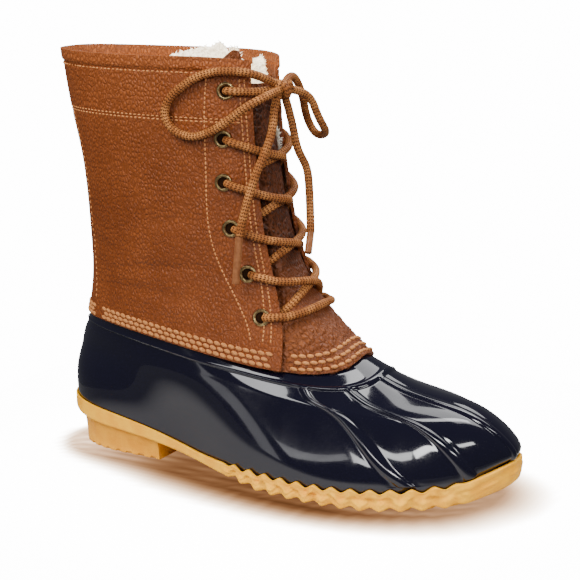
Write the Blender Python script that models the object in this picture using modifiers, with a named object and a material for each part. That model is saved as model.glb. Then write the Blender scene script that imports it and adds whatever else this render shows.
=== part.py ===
# Lace-up duck boot for the right foot: a moulded rubber lower on a gum sole, with a laced leather shaft.
# Sizes are in millimetres and become metres when a mesh is made. X runs from heel to toe, -Y is the
# outer side of the foot and z = 0 is the floor.
# A point on the boot is given by its turn round the foot (0 heel, 0.25 outer side, 0.5 toe, 0.75 inner
# side) and by its height, from 0 to 1 on the rubber and from 0 to 1 on the leather above it.
from collections import namedtuple

import bmesh
import bpy
import numpy as np
from mathutils import Matrix, Vector

MM = 0.001
LENGTH = 278.0
TOE_SWING = 9.0
GAP = 0.35
LEATHER = 2.0
TONGUE = 1.8
RUBBER_WALL = 2.6
FLANGE_WALL = 1.6
LACE = 4.6
STEP = 1e-4

# Sole edge seen from above, as distances from the boot's long axis.
SoleRow = namedtuple("SoleRow", "x lateral medial")
SOLE = (
    SoleRow(6, -17.0, 16.5),
    SoleRow(30, -30.0, 29.0),
    SoleRow(65, -32.5, 30.0),
    SoleRow(100, -37.0, 27.5),
    SoleRow(130, -44.5, 29.5),
    SoleRow(160, -49.8, 36.5),
    SoleRow(190, -51.0, 43.0),
    SoleRow(216, -47.0, 45.0),
    SoleRow(243, -36.5, 42.0),
    SoleRow(263, -21.5, 34.5),
    SoleRow(274, -5.0, 25.0),
)

# Sole seen from the side: its upper face, and its lower face, which is flat on the floor where it is below 0.
ProfileRow = namedtuple("ProfileRow", "x seat under")
PROFILE = (
    ProfileRow(0, 29.5, 20.0),
    ProfileRow(35, 25.4, 16.4),
    ProfileRow(72, 18.9, 12.4),
    ProfileRow(100, 13.0, 8.2),
    ProfileRow(128, 8.5, 3.4),
    ProfileRow(150, 7.2, 0.0),
    ProfileRow(182, 6.7, -1.2),
    ProfileRow(214, 7.4, 0.0),
    ProfileRow(240, 9.0, 1.8),
    ProfileRow(262, 11.0, 4.6),
    ProfileRow(278, 13.6, 8.6),
)

# Wall that the sole turns up round the rubber lower.
RandRow = namedtuple("RandRow", "x height thickness")
RAND = (
    RandRow(0, 0.5, 0.9),
    RandRow(60, 0.5, 0.9),
    RandRow(104, 0.5, 1.6),
    RandRow(122, 1.9, 1.9),
    RandRow(150, 2.6, 2.4),
    RandRow(200, 3.2, 2.4),
    RandRow(240, 3.6, 2.4),
    RandRow(262, 5.6, 2.4),
    RandRow(278, 9.5, 2.4),
)
TEETH_FROM = 120.4
TEETH_TO = 263.5
TOOTH_PITCH = 10.6
TOOTH_RISE = 1.5
TOOTH_FLUTE = 1.1
LUG_DEPTH = 1.6
SOLE_ROUND = 1.2
BACK_ROUND = 2.2
BACK_TO = 25.0
TOE_ROUND = 4.0
TOE_FROM = 250.0

HEEL_BREAST = 72.0
HEEL_INSET = 2.6
HEEL_BACK = 2.4
HEEL_TAPER = 1.8
HEEL_NOTCH = 1.4
HEEL_ROUND = 0.4

INSOLE = 4.0

# Level sections of the form: ends on the long axis, heights of the ends, dip of the sides towards the toe,
# half widths, roundness behind and in front, fullness towards the front, and sideways swing of the front.
Ring = namedtuple("Ring", "at back_x front_x back_z front_z dip lateral medial back_round front_round egg swing")
LOWER = (
    Ring(0.48, 3.0, 255.0, 58.0, 48.5, 12.0, -40.3, 34.5, 0.8, 0.70, 0.105, 6.5),
    Ring(0.77, 6.5, 217.0, 70.0, 58.0, 14.0, -37.7, 34.5, 0.8, 0.65, 0.10, 4.0),
)
SHAFT = (
    Ring(0.00, 10.5, 191.5, 79.5, 74.0, 18.0, -37.5, 34.5, 0.8, 0.60, 0.06, 3.0),
    Ring(0.17, 14.5, 161.5, 104.0, 102.0, 8.0, -34.5, 32.5, 0.8, 0.62, 0.04, 0.0),
    Ring(0.34, 14.5, 147.0, 129.0, 128.0, 3.0, -34.0, 32.5, 0.8, 0.62, 0.02, -2.0),
    Ring(0.62, 10.5, 138.0, 175.0, 175.0, 0.0, -35.0, 33.5, 0.8, 0.65, 0.00, -4.0),
    Ring(0.81, 3.5, 134.5, 205.0, 203.0, -1.0, -36.0, 34.5, 0.8, 0.65, 0.00, -5.0),
    Ring(1.00, -1.5, 132.0, 235.0, 231.0, -5.0, -36.5, 35.5, 0.8, 0.65, 0.00, -5.0),
)

# Fullness of the rubber lower just above the sole: its inset from the sole's edge, the same on both sides.
SwellRow = namedtuple("SwellRow", "turn inset")
SWELL = (
    SwellRow(0.00, 1.0),
    SwellRow(0.10, 1.2),
    SwellRow(0.18, 1.0),
    SwellRow(0.24, 2.2),
    SwellRow(0.30, 4.5),
    SwellRow(0.36, 4.6),
    SwellRow(0.42, 3.6),
    SwellRow(0.46, 1.8),
    SwellRow(0.50, 1.0),
)
SWELL_AT = 0.2
SWELL_RISE = 15.5

# Rubber lower: raised band under the leather, raised ribs over the toe, flange inside the leather.
BAND_FROM = 0.885
BAND_RISE = 0.8
RIB_TURNS = (0.372, 0.428, 0.488, 0.560)
RIB_RISE = 1.2
RIB_HALF = 0.0075
RIB_SPREAD = 0.25
FLANGE_TOP = 0.085

# Leather: front edges of the quarters, half width of the tongue behind them, collar hem and back stay.
ThroatRow = namedtuple("ThroatRow", "at lateral medial tongue")
THROAT = (
    ThroatRow(0.00, 0.352, 0.648, 0.190),
    ThroatRow(0.05, 0.370, 0.630, 0.170),
    ThroatRow(0.12, 0.395, 0.605, 0.148),
    ThroatRow(0.22, 0.422, 0.578, 0.128),
    ThroatRow(0.40, 0.437, 0.561, 0.108),
    ThroatRow(0.60, 0.444, 0.553, 0.098),
    ThroatRow(0.80, 0.452, 0.547, 0.092),
    ThroatRow(1.04, 0.457, 0.543, 0.088),
)
TONGUE_TOP = 1.02
HEM_FROM = 0.955
HEM_RISE = 0.8
STAY_HALF = 0.062
STAY_RISE = 0.5

# Eyelets on the outer quarter, from the top; the inner quarter mirrors them.
EyeletRow = namedtuple("EyeletRow", "turn at")
EYELETS = (
    EyeletRow(0.397, 0.892),
    EyeletRow(0.380, 0.722),
    EyeletRow(0.369, 0.571),
    EyeletRow(0.370, 0.428),
    EyeletRow(0.381, 0.283),
    EyeletRow(0.371, 0.146),
)
EYELET_BORE = 2.7
EYELET_BARREL = 3.2
EYELET_CROWN = 3.7
EYELET_RIM = 4.7
EYELET_HEIGHT = 1.4
EYELET_SIDES = 9

# Lace bow: turn, height and lift off the leather's face along each free stretch.
CordRow = namedtuple("CordRow", "turn at lift")
KNOT = CordRow(0.496, 0.900, 9.6)
KNOT_RADIUS = 5.2
LATERAL_LOOP = (
    CordRow(0.478, 0.942, 8.0),
    CordRow(0.440, 0.956, 6.5),
    CordRow(0.397, 0.958, 4.5),
    CordRow(0.355, 0.938, 3.4),
    CordRow(0.326, 0.901, 3.2),
    CordRow(0.304, 0.856, 3.2),
    CordRow(0.295, 0.812, 3.2),
    CordRow(0.299, 0.765, 3.2),
    CordRow(0.315, 0.735, 3.2),
    CordRow(0.340, 0.732, 3.4),
    CordRow(0.366, 0.754, 4.0),
    CordRow(0.391, 0.784, 5.2),
    CordRow(0.415, 0.819, 6.5),
    CordRow(0.440, 0.853, 9.5),
    CordRow(0.470, 0.886, 15.0),
)
MEDIAL_LOOP = (
    CordRow(0.514, 0.944, 8.5),
    CordRow(0.542, 0.922, 9.0),
    CordRow(0.565, 0.839, 13.5),
    CordRow(0.584, 0.750, 17.5),
    CordRow(0.582, 0.697, 20.5),
    CordRow(0.560, 0.692, 23.0),
    CordRow(0.542, 0.722, 23.0),
    CordRow(0.531, 0.782, 20.7),
    CordRow(0.525, 0.842, 18.6),
    CordRow(0.514, 0.884, 17.0),
)
LATERAL_END = (
    CordRow(0.484, 0.860, 7.8),
    CordRow(0.479, 0.815, 8.4),
    CordRow(0.471, 0.759, 8.8),
    CordRow(0.441, 0.638, 8.5),
    CordRow(0.418, 0.551, 8.7),
    CordRow(0.402, 0.480, 8.9),
    CordRow(0.388, 0.410, 9.0),
)
LATERAL_AGLET = CordRow(0.362, 0.255, 8.6)
MEDIAL_END = (
    CordRow(0.508, 0.858, 7.6),
    CordRow(0.507, 0.800, 8.6),
    CordRow(0.508, 0.725, 9.6),
    CordRow(0.510, 0.655, 10.6),
    CordRow(0.519, 0.599, 12.0),
    CordRow(0.520, 0.531, 12.0),
    CordRow(0.515, 0.453, 11.0),
    CordRow(0.507, 0.381, 10.0),
)
MEDIAL_AGLET = CordRow(0.498, 0.313, 9.0)
AGLET = 4.2
CORD_SPACING = 2.35

# The frame's origin is under the middle of the whole boot.
MIDDLE_X = (LENGTH + SHAFT[-1].back_x - HEM_RISE) / 2
MIDDLE_Y = (min(row.lateral for row in SOLE) + max(row.medial for row in SOLE)) / 2


def spline(knots, values, at):
    """Natural cubic spline: the rows of values at the knots, read at each place in at."""
    knots = np.asarray(knots, float)
    values = np.asarray(values, float).reshape(len(knots), -1)
    gaps = np.diff(knots)
    slopes = np.diff(values, axis=0) / gaps[:, None]
    system = np.eye(len(knots))
    right = np.zeros_like(values)
    for i in range(1, len(knots) - 1):
        system[i, i - 1:i + 2] = gaps[i - 1], 2 * (gaps[i - 1] + gaps[i]), gaps[i]
        right[i] = 6 * (slopes[i] - slopes[i - 1])
    bend = np.linalg.solve(system, right)
    at = np.ravel(np.asarray(at, float))
    k = np.clip(np.searchsorted(knots, at) - 1, 0, len(gaps) - 1)
    h = gaps[k][:, None]
    after = (at - knots[k])[:, None]
    before = h - after
    curve = (bend[k] * before ** 3 + bend[k + 1] * after ** 3) / (6 * h)
    start = (values[k] / h - bend[k] * h / 6) * before
    end = (values[k + 1] / h - bend[k + 1] * h / 6) * after
    return curve + start + end


def smooth(x):
    """Eased step from 0 to 1."""
    x = np.clip(x, 0.0, 1.0)
    return x * x * (3 - 2 * x)


def profile(name, x):
    return spline([row.x for row in PROFILE], [getattr(row, name) for row in PROFILE], x)[:, 0]


def seat(x):
    return profile("seat", x)


def under(x):
    return np.maximum(profile("under", x), 0.0)


def rand(name, x):
    return np.interp(x, [row.x for row in RAND], [getattr(row, name) for row in RAND])


def sole_round(x):
    """Rounding under the sole's edge, larger round the heel and the toe."""
    back = smooth((BACK_TO - x) / BACK_TO)
    toe = smooth((x - TOE_FROM) / (LENGTH - TOE_FROM))
    return SOLE_ROUND + BACK_ROUND * back + TOE_ROUND * toe


def throat(name, v):
    return spline([row.at for row in THROAT], [getattr(row, name) for row in THROAT], v)[:, 0]


def turn_at(x):
    """Turn of the sole edge's outer side at a distance x from the heel."""
    return np.arccos(1 - 2 * np.asarray(x, float) / LENGTH) / (2 * np.pi)


def edge(u):
    """Sole edge seen from above."""
    turns = [2 * np.pi * turn_at(row.x) for row in SOLE]
    knots = np.array([0.0] + turns + [np.pi] + [2 * np.pi - turn for turn in turns[::-1]])
    sides = np.array([0.0] + [row.lateral for row in SOLE] + [TOE_SWING] + [row.medial for row in SOLE[::-1]])
    wrap = 4
    knots = np.concatenate([knots[-wrap:] - 2 * np.pi, knots, knots[:wrap] + 2 * np.pi])
    sides = np.concatenate([sides[-wrap:], sides, sides[:wrap]])
    angle = (2 * np.pi * np.asarray(u, float)) % (2 * np.pi)
    return np.stack([LENGTH * (1 - np.cos(angle)) / 2, spline(knots, sides, angle)[:, 0]], -1)


def inset_edge(u, inset):
    """Sole edge moved inwards, square to itself."""
    u = np.asarray(u, float)
    along = edge(u + STEP) - edge(u - STEP)
    along /= np.linalg.norm(along, axis=1)[:, None]
    inward = np.stack([-along[:, 1], along[:, 0]], -1)
    return edge(u) + inward * np.broadcast_to(inset, u.shape)[:, None]


def level(plan, z):
    return np.concatenate([plan, np.broadcast_to(z, len(plan))[:, None]], 1)


def ring(row, u):
    """One level section of the form."""
    angle = 2 * np.pi * np.asarray(u, float)
    forward = (1 - np.cos(angle)) / 2
    sideways = np.abs(np.sin(angle))
    half = np.where(np.sin(angle) >= 0, row.lateral, row.medial)
    roundness = row.back_round + (row.front_round - row.back_round) * forward
    x = row.back_x + (row.front_x - row.back_x) * forward
    y = half * sideways ** roundness * (1 + 2 * row.egg * (2 * forward - 1)) + row.swing * forward ** 3
    z = row.back_z + (row.front_z - row.back_z) * forward - row.dip * forward ** 2 * sideways
    return np.stack([x, y, z], -1)


def through(knots, rings, at):
    """Points of the surface that passes smoothly through the rings."""
    weights = spline(knots, np.eye(len(knots)), at)
    return np.einsum("nk,knd->nd", weights, np.stack(rings))


def shaft(u, v):
    """Outer face of the leather."""
    return through([row.at for row in SHAFT], [ring(row, u) for row in SHAFT], v)


def lift_off(surface, u, v, lift):
    """Points of a surface, moved outwards along its normal."""
    u, v = np.broadcast_arrays(np.asarray(u, float), np.asarray(v, float))
    u, v = u.ravel(), v.ravel()
    across = surface(u + STEP, v) - surface(u - STEP, v)
    up = surface(u, v + STEP) - surface(u, v - STEP)
    out = np.cross(across, up)
    out /= np.linalg.norm(out, axis=1)[:, None]
    return surface(u, v) + out * np.broadcast_to(lift, u.shape)[:, None]


def tuck(u):
    """Depth of the rubber below the leather's face: deeper in front, where the tongue lies between."""
    tongue_full = 0.20
    tongue_past = 0.25
    away = np.abs(np.asarray(u, float) % 1.0 - 0.5)
    in_front = 1 - smooth((away - tongue_full) / (tongue_past - tongue_full))
    return LEATHER + GAP + (TONGUE + 3 * GAP) * in_front


def swell_inset(u):
    side = 0.5 - np.abs(np.asarray(u, float) % 1.0 - 0.5)
    return np.interp(side, [row.turn for row in SWELL], [row.inset for row in SWELL])


def rubber(u, t):
    """Outer face of the rubber lower, from the top of the sole's wall to the leather's edge."""
    x = edge(u)[:, 0]
    foot = inset_edge(u, rand("thickness", x) + GAP)
    base = level(foot, seat(x) + rand("height", x) + TOOTH_RISE + GAP)
    swell = level(inset_edge(u, swell_inset(u)), seat(x) + SWELL_RISE)
    topline = lift_off(shaft, u, 0.0, -tuck(u))
    knots = [0.0, SWELL_AT] + [row.at for row in LOWER] + [1.0]
    return through(knots, [base, swell] + [ring(row, u) for row in LOWER] + [topline], t)


def place(points):
    """Points in millimetres from the heel, as points in metres in the boot's frame."""
    points = np.asarray(points, float) - (MIDDLE_X, MIDDLE_Y, 0.0)
    return [Vector(point) * MM for point in points.tolist()]


def collection(name):
    group = bpy.data.collections.new(name)
    bpy.context.scene.collection.children.link(group)
    return group


def material(name, colour, roughness, metallic=0.0):
    finish = bpy.data.materials.new(name)
    finish.use_nodes = True
    shader = finish.node_tree.nodes["Principled BSDF"]
    shader.inputs["Base Color"].default_value = (*colour, 1.0)
    shader.inputs["Roughness"].default_value = roughness
    shader.inputs["Metallic"].default_value = metallic
    return finish


def add_object(name, data, finish, group):
    piece = bpy.data.objects.new(name, data)
    data.materials.append(finish)
    group.objects.link(piece)
    return piece


def add_mesh(name, points, faces, finish, group):
    mesh = bpy.data.meshes.new(name)
    mesh.from_pydata(place(points), [], faces)
    mesh.shade_smooth()
    mesh.set_sharp_from_angle(angle=0.6)
    return add_object(name, mesh, finish, group)


def loft(rings, closed_section=False):
    """Faces between successive closed rings of equal count, the last joined to the first if asked."""
    count = len(rings[0])
    faces = []
    for k in range(len(rings) - (0 if closed_section else 1)):
        low = k * count
        high = (k + 1) % len(rings) * count
        for i in range(count):
            j = (i + 1) % count
            faces.append((low + i, low + j, high + j, high + i))
    return faces


def rungs(count, start, facing_up):
    """Faces across a ring whose two sides pair off, from its first point to the one half way round."""
    faces = []
    for i in range(count // 2):
        face = [start + i, start + i + 1, start + (count - i - 1) % count, start + (count - i) % count]
        face = list(dict.fromkeys(face))
        faces.append(face if facing_up else face[::-1])
    return faces


def round_trip(stations):
    """Turns of the sole edge at stations along its outer side, and back along its inner side."""
    out = turn_at(stations)
    return np.concatenate([[0.0], out, [0.5], 1 - out[::-1]])


def add_outsole(finish, group):
    """Sole strip with its toothed wall, ribbed below so that every rib's flat crest meets the floor."""
    per_tooth = 6
    heel = LENGTH * (1 - np.cos(np.linspace(0, 1, 12)[1:-1] * np.arccos(1 - 2 * TEETH_FROM / LENGTH))) / 2
    teeth = np.arange(TEETH_FROM, TEETH_TO, TOOTH_PITCH / per_tooth)
    toe = LENGTH - (LENGTH - teeth[-1]) * np.array([0.66, 0.4, 0.2, 0.06])
    u = round_trip(np.concatenate([heel, teeth, toe]))
    x = edge(u)[:, 0]
    ends = smooth((x - TEETH_FROM) / TOOTH_PITCH) * smooth((TEETH_TO - x) / TOOTH_PITCH)
    wave = np.cos(2 * np.pi * (x - TEETH_FROM) / TOOTH_PITCH) * ends
    lug = LUG_DEPTH * (wave > 0.2) * ends
    top = seat(x) + rand("height", x) + TOOTH_RISE * wave
    low = under(x) + lug
    flute_low = TOOTH_FLUTE * (ends + wave) / 2
    flute_top = TOOTH_FLUTE * (ends - wave) / 2
    wall = rand("thickness", x)
    rounding = np.minimum(SOLE_ROUND, wall / 3)
    flute_top *= wall / RAND[-1].thickness
    rings = [
        level(inset_edge(u, sole_round(x) + flute_low), low),
        level(inset_edge(u, flute_low), low + sole_round(x)),
        level(inset_edge(u, flute_top), top - rounding),
        level(inset_edge(u, rounding + flute_top / 2), top),
        level(inset_edge(u, wall), top),
        level(inset_edge(u, wall), seat(x)),
    ]
    count = len(u)
    faces = loft(rings) + rungs(count, 0, False) + rungs(count, (len(rings) - 1) * count, True)
    return add_mesh("outsole", np.concatenate(rings), faces, finish, group)


def add_heel(finish, group):
    """Heel block: straight at the breast, notched along its foot, its top parallel to the sole strip."""
    turns = np.linspace(0, 1, 17)[1:]
    stations = HEEL_BREAST * (1 - np.cos(np.pi * turns / 2))
    out = turn_at(stations)
    u = np.concatenate([[0.0], out, 1 - out[::-1]])

    def plan(inset):
        points = edge(u)
        back = inset + HEEL_BACK
        points[:, 0] = back + points[:, 0] * (HEEL_BREAST - back) / HEEL_BREAST
        points[:, 1] *= 1 - inset / SOLE[2].medial
        return points

    notch = HEEL_NOTCH * (np.arange(len(u)) % 4 < 2)
    top = plan(HEEL_INSET)
    rings = [
        level(plan(HEEL_INSET + HEEL_TAPER + HEEL_NOTCH), 0.0),
        level(plan(HEEL_INSET + HEEL_TAPER), notch + HEEL_ROUND),
        level(plan(HEEL_INSET + HEEL_TAPER), HEEL_NOTCH + 3 * HEEL_ROUND),
        level(top, under(top[:, 0]) - GAP),
    ]
    count = len(u)
    faces = loft(rings) + rungs(count, 0, False) + rungs(count, (len(rings) - 1) * count, True)
    return add_mesh("heel", np.concatenate(rings), faces, finish, group)


def add_insole(finish, group):
    """Footbed that lies on the sole inside the rubber lower."""
    u = np.linspace(0, 1, 41)[:-1]
    x = edge(u)[:, 0]
    inset = rand("thickness", x) + GAP + RUBBER_WALL + 5 * GAP
    plan = inset_edge(u, inset)
    rings = [level(plan, seat(x) + GAP), level(plan, seat(x) + GAP + INSOLE)]
    count = len(u)
    faces = loft(rings) + rungs(count, 0, False) + rungs(count, count, True)
    return add_mesh("insole", np.concatenate(rings), faces, finish, group)


def shell_turns():
    """Turns round the rubber lower, close together where a rib stands up."""
    ribs = [turn + RIB_HALF * side for turn in RIB_TURNS for side in (-1.0, -0.5, 0.0, 0.5, 1.0)]
    plain = np.concatenate([np.linspace(0, 0.34, 16), np.linspace(0.355, 0.62, 17), np.linspace(0.635, 0.98, 16)])
    clear = 1.3 * RIB_HALF
    plain = [turn for turn in plain if min(abs(turn - rib) for rib in ribs) > clear]
    return np.array(sorted(plain + ribs))


def fan(u, t):
    """Turns of the columns at height t: over the toe they fan out between sole and band, as the ribs do."""
    full = 0.14
    past = 0.26
    reach = 1 - smooth((np.abs(u - 0.5) - full) / (past - full))
    return u + RIB_SPREAD * (u - 0.5) * np.sin(np.pi * t) * reach


def rib_height(u, t):
    """Rise of the ribs, which run out just above the sole and just below the band."""
    low_end = 0.06
    high_end = 0.04
    ends = smooth(t / low_end) * smooth((BAND_FROM - t) / high_end)
    bump = sum(np.clip(1 - ((u - turn) / RIB_HALF) ** 2, 0.0, 1.0) for turn in RIB_TURNS)
    return RIB_RISE * bump * ends


def add_shell(finish, group):
    """Rubber lower: one hollow wall, open below on the sole and open above inside the leather."""
    u = shell_turns()
    x = edge(u)[:, 0]
    foot = inset_edge(u, rand("thickness", x) + GAP)
    rings = [level(foot, seat(x) + GAP)]
    band_step = 0.025
    for t in (0.0, 0.08, 0.18, 0.31, 0.45, 0.60, 0.75, BAND_FROM - band_step, BAND_FROM, 1.0):
        on_band = BAND_FROM <= t < 1.0
        rings.append(lift_off(rubber, fan(u, t), t, rib_height(u, t) + BAND_RISE * on_band))
    for v in (FLANGE_TOP / 2, FLANGE_TOP):
        rings.append(lift_off(shaft, u, v, -tuck(u)))
    for v in (FLANGE_TOP, FLANGE_TOP / 2):
        rings.append(lift_off(shaft, u, v, -tuck(u) - FLANGE_WALL))
    for t in (0.96, 0.70, 0.40, 0.15):
        rings.append(lift_off(rubber, fan(u, t), t, -RUBBER_WALL))
    rings.append(level(inset_edge(u, rand("thickness", x) + GAP + RUBBER_WALL), seat(x) + GAP))
    faces = loft(rings, closed_section=True)
    return add_mesh("shell", np.concatenate(rings), faces, finish, group)


def add_sheet(name, rows, thickness, finish, group):
    """Sheet of leather: an open grid of points, thickened inwards."""
    count = len(rows[0])
    faces = []
    for k in range(len(rows) - 1):
        for i in range(count - 1):
            low = k * count + i
            faces.append((low, low + 1, low + count + 1, low + count))
    piece = add_mesh(name, np.concatenate(rows), faces, finish, group)
    wall = piece.modifiers.new("wall", "SOLIDIFY")
    wall.thickness = thickness * MM
    wall.offset = -1.0
    wall.use_even_offset = True
    return piece


def add_upper(finish, group):
    """Leather quarters in one wall from throat edge to throat edge, with a hem and a back stay."""
    stay = STAY_HALF / (2 * THROAT[-1].lateral)
    stay_step = 0.005
    half = np.concatenate([np.linspace(0, 0.5 - stay, 17), [0.5 - stay + stay_step, 0.5 - stay / 2]])
    across = np.concatenate([half, [0.5], 1 - half[::-1]])
    hem_step = 0.012
    rows = []
    for v in (0.0, 0.05, 0.11, 0.18, 0.26, 0.36, 0.49, 0.64, 0.80, HEM_FROM - hem_step, HEM_FROM, 1.0):
        u = (throat("medial", v) - 1) * across + throat("lateral", v) * (1 - across)
        rise = STAY_RISE * (np.abs(u) < STAY_HALF) * (v < HEM_FROM) + HEM_RISE * (v >= HEM_FROM)
        rows.append(lift_off(shaft, u[::-1], v, rise[::-1]))
    return add_sheet("upper", rows, LEATHER, finish, group)


def add_tongue(finish, group):
    """Vamp panel and tongue in one, lying behind the edges of the quarters."""
    rows = []
    for v in (0.0, 0.045, 0.09, 0.15, 0.22, 0.31, 0.42, 0.56, 0.71, 0.86, TONGUE_TOP):
        u = 0.5 + throat("tongue", v) * np.linspace(-1, 1, 19)
        rows.append(lift_off(shaft, u, v, -LEATHER - 2 * GAP))
    return add_sheet("tongue", rows, TONGUE, finish, group)


def leather_frame(turn, at):
    """Place and directions on the leather's face: outwards is the local z axis."""
    spot, out = place(np.concatenate([lift_off(shaft, turn, at, 0.0), lift_off(shaft, turn, at, 1.0)]))
    direction = (out - spot).normalized()
    return Matrix.Translation(spot) @ direction.to_track_quat("Z", "Y").to_matrix().to_4x4()


def eyelet_places():
    """Each eyelet's name and place, outer side first, from the top."""
    places = []
    for number, row in enumerate(EYELETS, start=1):
        places.append((f"eyelet_lateral_{number}", leather_frame(row.turn, row.at)))
        places.append((f"eyelet_medial_{number}", leather_frame(1 - row.turn, row.at)))
    return places


def add_eyelet(name, frame, finish, group):
    """Turned brass eyelet: a crowned rim on the leather and a barrel through it."""
    section = (
        (EYELET_BORE, EYELET_HEIGHT - GAP),
        (EYELET_CROWN, EYELET_HEIGHT),
        (EYELET_RIM, GAP),
        (EYELET_BARREL, GAP),
        (EYELET_BARREL, -LEATHER),
        (EYELET_BORE, -LEATHER),
    )
    mesh = bpy.data.meshes.new(name)
    points = [(radius * MM, 0.0, height * MM) for radius, height in section]
    mesh.from_pydata(points, [(i, (i + 1) % len(points)) for i in range(len(points))], [])
    piece = add_object(name, mesh, finish, group)
    piece.matrix_world = frame
    turn = piece.modifiers.new("turn", "SCREW")
    turn.steps = EYELET_SIDES
    turn.render_steps = EYELET_SIDES
    turn.use_merge_vertices = True
    turn.merge_threshold = 0.00001
    return piece


def bore_eyelets(upper, places, group):
    """Holes for the eyelets' barrels."""
    bores = bmesh.new()
    for _, frame in places:
        bmesh.ops.create_cone(
            bores, cap_ends=True, segments=EYELET_SIDES, depth=4 * LEATHER * MM,
            radius1=(EYELET_BARREL + GAP) * MM, radius2=(EYELET_BARREL + GAP) * MM, matrix=frame)
    mesh = bpy.data.meshes.new("eyelet_bores")
    bores.to_mesh(mesh)
    bores.free()
    cutter = bpy.data.objects.new("eyelet_bores", mesh)
    cutter.hide_render = True
    cutter.display_type = "WIRE"
    group.objects.link(cutter)
    cut = upper.modifiers.new("eyelet_bores", "BOOLEAN")
    cut.operation = "DIFFERENCE"
    cut.object = cutter


def cord_places(rows):
    return np.concatenate([lift_off(shaft, row.turn, row.at, row.lift) for row in rows])


def knot_face(towards):
    """Where a cord that heads towards a point leaves the knot."""
    centre = cord_places([KNOT])[0]
    way = towards - centre
    return centre + way / np.linalg.norm(way) * (KNOT_RADIUS + 3 * GAP)


def smooth_run(points):
    """Evenly spaced points on a smooth curve through the points."""
    along = np.concatenate([[0.0], np.cumsum(np.linalg.norm(np.diff(points, axis=0), axis=1))])
    count = max(3, round(along[-1] / (CORD_SPACING * LACE)) + 1)
    return spline(along, points, np.linspace(0, along[-1], count))


def lace_points(rows):
    return smooth_run(cord_places(rows))


def add_cord(name, points, diameter, finish, group):
    """Round cord along a run of points."""
    curve = bpy.data.curves.new(name, "CURVE")
    curve.dimensions = "3D"
    curve.bevel_depth = diameter / 2 * MM
    curve.bevel_resolution = 2
    curve.use_fill_caps = True
    run = curve.splines.new("POLY")
    run.points.add(len(points) - 1)
    for knot, spot in zip(run.points, place(points)):
        knot.co = (*spot, 1.0)
    return add_object(name, curve, finish, group)


def strand(upper_row, lower_row, over_far_edge):
    """Lace from an eyelet over the edge of its quarter and across, to the far eyelet or the far edge."""
    clear_eyelet = LACE / 2 + EYELET_HEIGHT + 3 * GAP
    clear_leather = LACE / 2 + 4 * GAP
    on_tongue = LACE / 2 - LEATHER + 3 * GAP
    width = 1 - 2 * upper_row.turn
    edge_way = (throat("lateral", upper_row.at)[0] - upper_row.turn) / width
    past_edge = 0.13
    short_of_edge = 0.07
    ways = [0.0, edge_way, edge_way + past_edge, 0.5]
    lifts = [clear_eyelet, clear_leather, on_tongue + LACE / 3, on_tongue]
    if over_far_edge:
        ways += [1 - way for way in ways[-2::-1]]
        lifts += lifts[-2::-1]
    else:
        ways.append(1 - edge_way - short_of_edge)
        lifts.append(on_tongue)
    rows = []
    for way, lift in zip(ways, lifts):
        turn = upper_row.turn + way * width
        rows.append(CordRow(turn, upper_row.at + way * (lower_row.at - upper_row.at), lift))
    return rows


def mirrored(rows):
    return [CordRow(1 - row.turn, row.at, row.lift) for row in rows]


def as_mesh(cord, group):
    """Replaces a cord's curve by a closed mesh."""
    evaluated = cord.evaluated_get(bpy.context.evaluated_depsgraph_get())
    mesh = bpy.data.meshes.new_from_object(evaluated)
    welded = bmesh.new()
    welded.from_mesh(mesh)
    bmesh.ops.remove_doubles(welded, verts=welded.verts, dist=0.00001)
    welded.to_mesh(mesh)
    welded.free()
    name = cord.name
    bpy.data.objects.remove(cord)
    piece = bpy.data.objects.new(name, mesh)
    group.objects.link(piece)
    return piece


def add_lace_rows(finish, group, cutters):
    """Lace over the throat: a bar at the bottom and at the top, and crossed strands between."""
    bottom, top = EYELETS[-1], EYELETS[0]
    add_cord("lace_bar", lace_points(strand(bottom, bottom, True)), LACE, finish, group)
    add_cord("lace_top", lace_points(strand(top, top, True)), LACE, finish, group)
    for number in range(2, len(EYELETS)):
        rows = strand(EYELETS[number - 1], EYELETS[number], False)
        first = add_cord(f"lace_cross_{number}", lace_points(rows), LACE, finish, group)
        second = add_cord(f"lace_cross_{number}_second", lace_points(mirrored(rows)), LACE, finish, cutters)
        bpy.context.view_layer.update()
        first = as_mesh(first, group)
        second = as_mesh(second, cutters)
        second.hide_render = True
        second.display_type = "WIRE"
        join = first.modifiers.new("join", "BOOLEAN")
        join.operation = "UNION"
        join.object = second


def add_knot(finish, group):
    """Tight core of the bow."""
    core = bmesh.new()
    bmesh.ops.create_uvsphere(core, u_segments=12, v_segments=8, radius=KNOT_RADIUS * MM)
    frame = leather_frame(KNOT.turn, KNOT.at) @ Matrix.Translation((0.0, 0.0, KNOT.lift * MM))
    bmesh.ops.transform(core, matrix=frame, verts=core.verts)
    mesh = bpy.data.meshes.new("lace_knot")
    core.to_mesh(mesh)
    core.free()
    mesh.shade_smooth()
    return add_object("lace_knot", mesh, finish, group)


def add_bow(lace, tip, group):
    """Knot, two loops, and two ends with their hard tips."""
    add_knot(lace, group)
    for side, rows in (("lateral", LATERAL_LOOP), ("medial", MEDIAL_LOOP)):
        places = cord_places(rows)
        loop = smooth_run(np.stack([knot_face(places[0]), *places[1:-1], knot_face(places[-1])]))
        add_cord(f"lace_loop_{side}", loop, LACE, lace, group)
    for side, rows, end in (("lateral", LATERAL_END, LATERAL_AGLET), ("medial", MEDIAL_END, MEDIAL_AGLET)):
        places = cord_places(rows)
        cord = smooth_run(np.stack([knot_face(places[0]), *places[1:]]))
        tail = lift_off(shaft, end.turn, end.at, end.lift)[0]
        heading = (tail - cord[-1]) / np.linalg.norm(tail - cord[-1])
        add_cord(f"lace_end_{side}", cord, LACE, lace, group)
        add_cord(f"aglet_{side}", np.stack([cord[-1] + heading * 2 * GAP, tail]), AGLET, tip, group)


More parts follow.
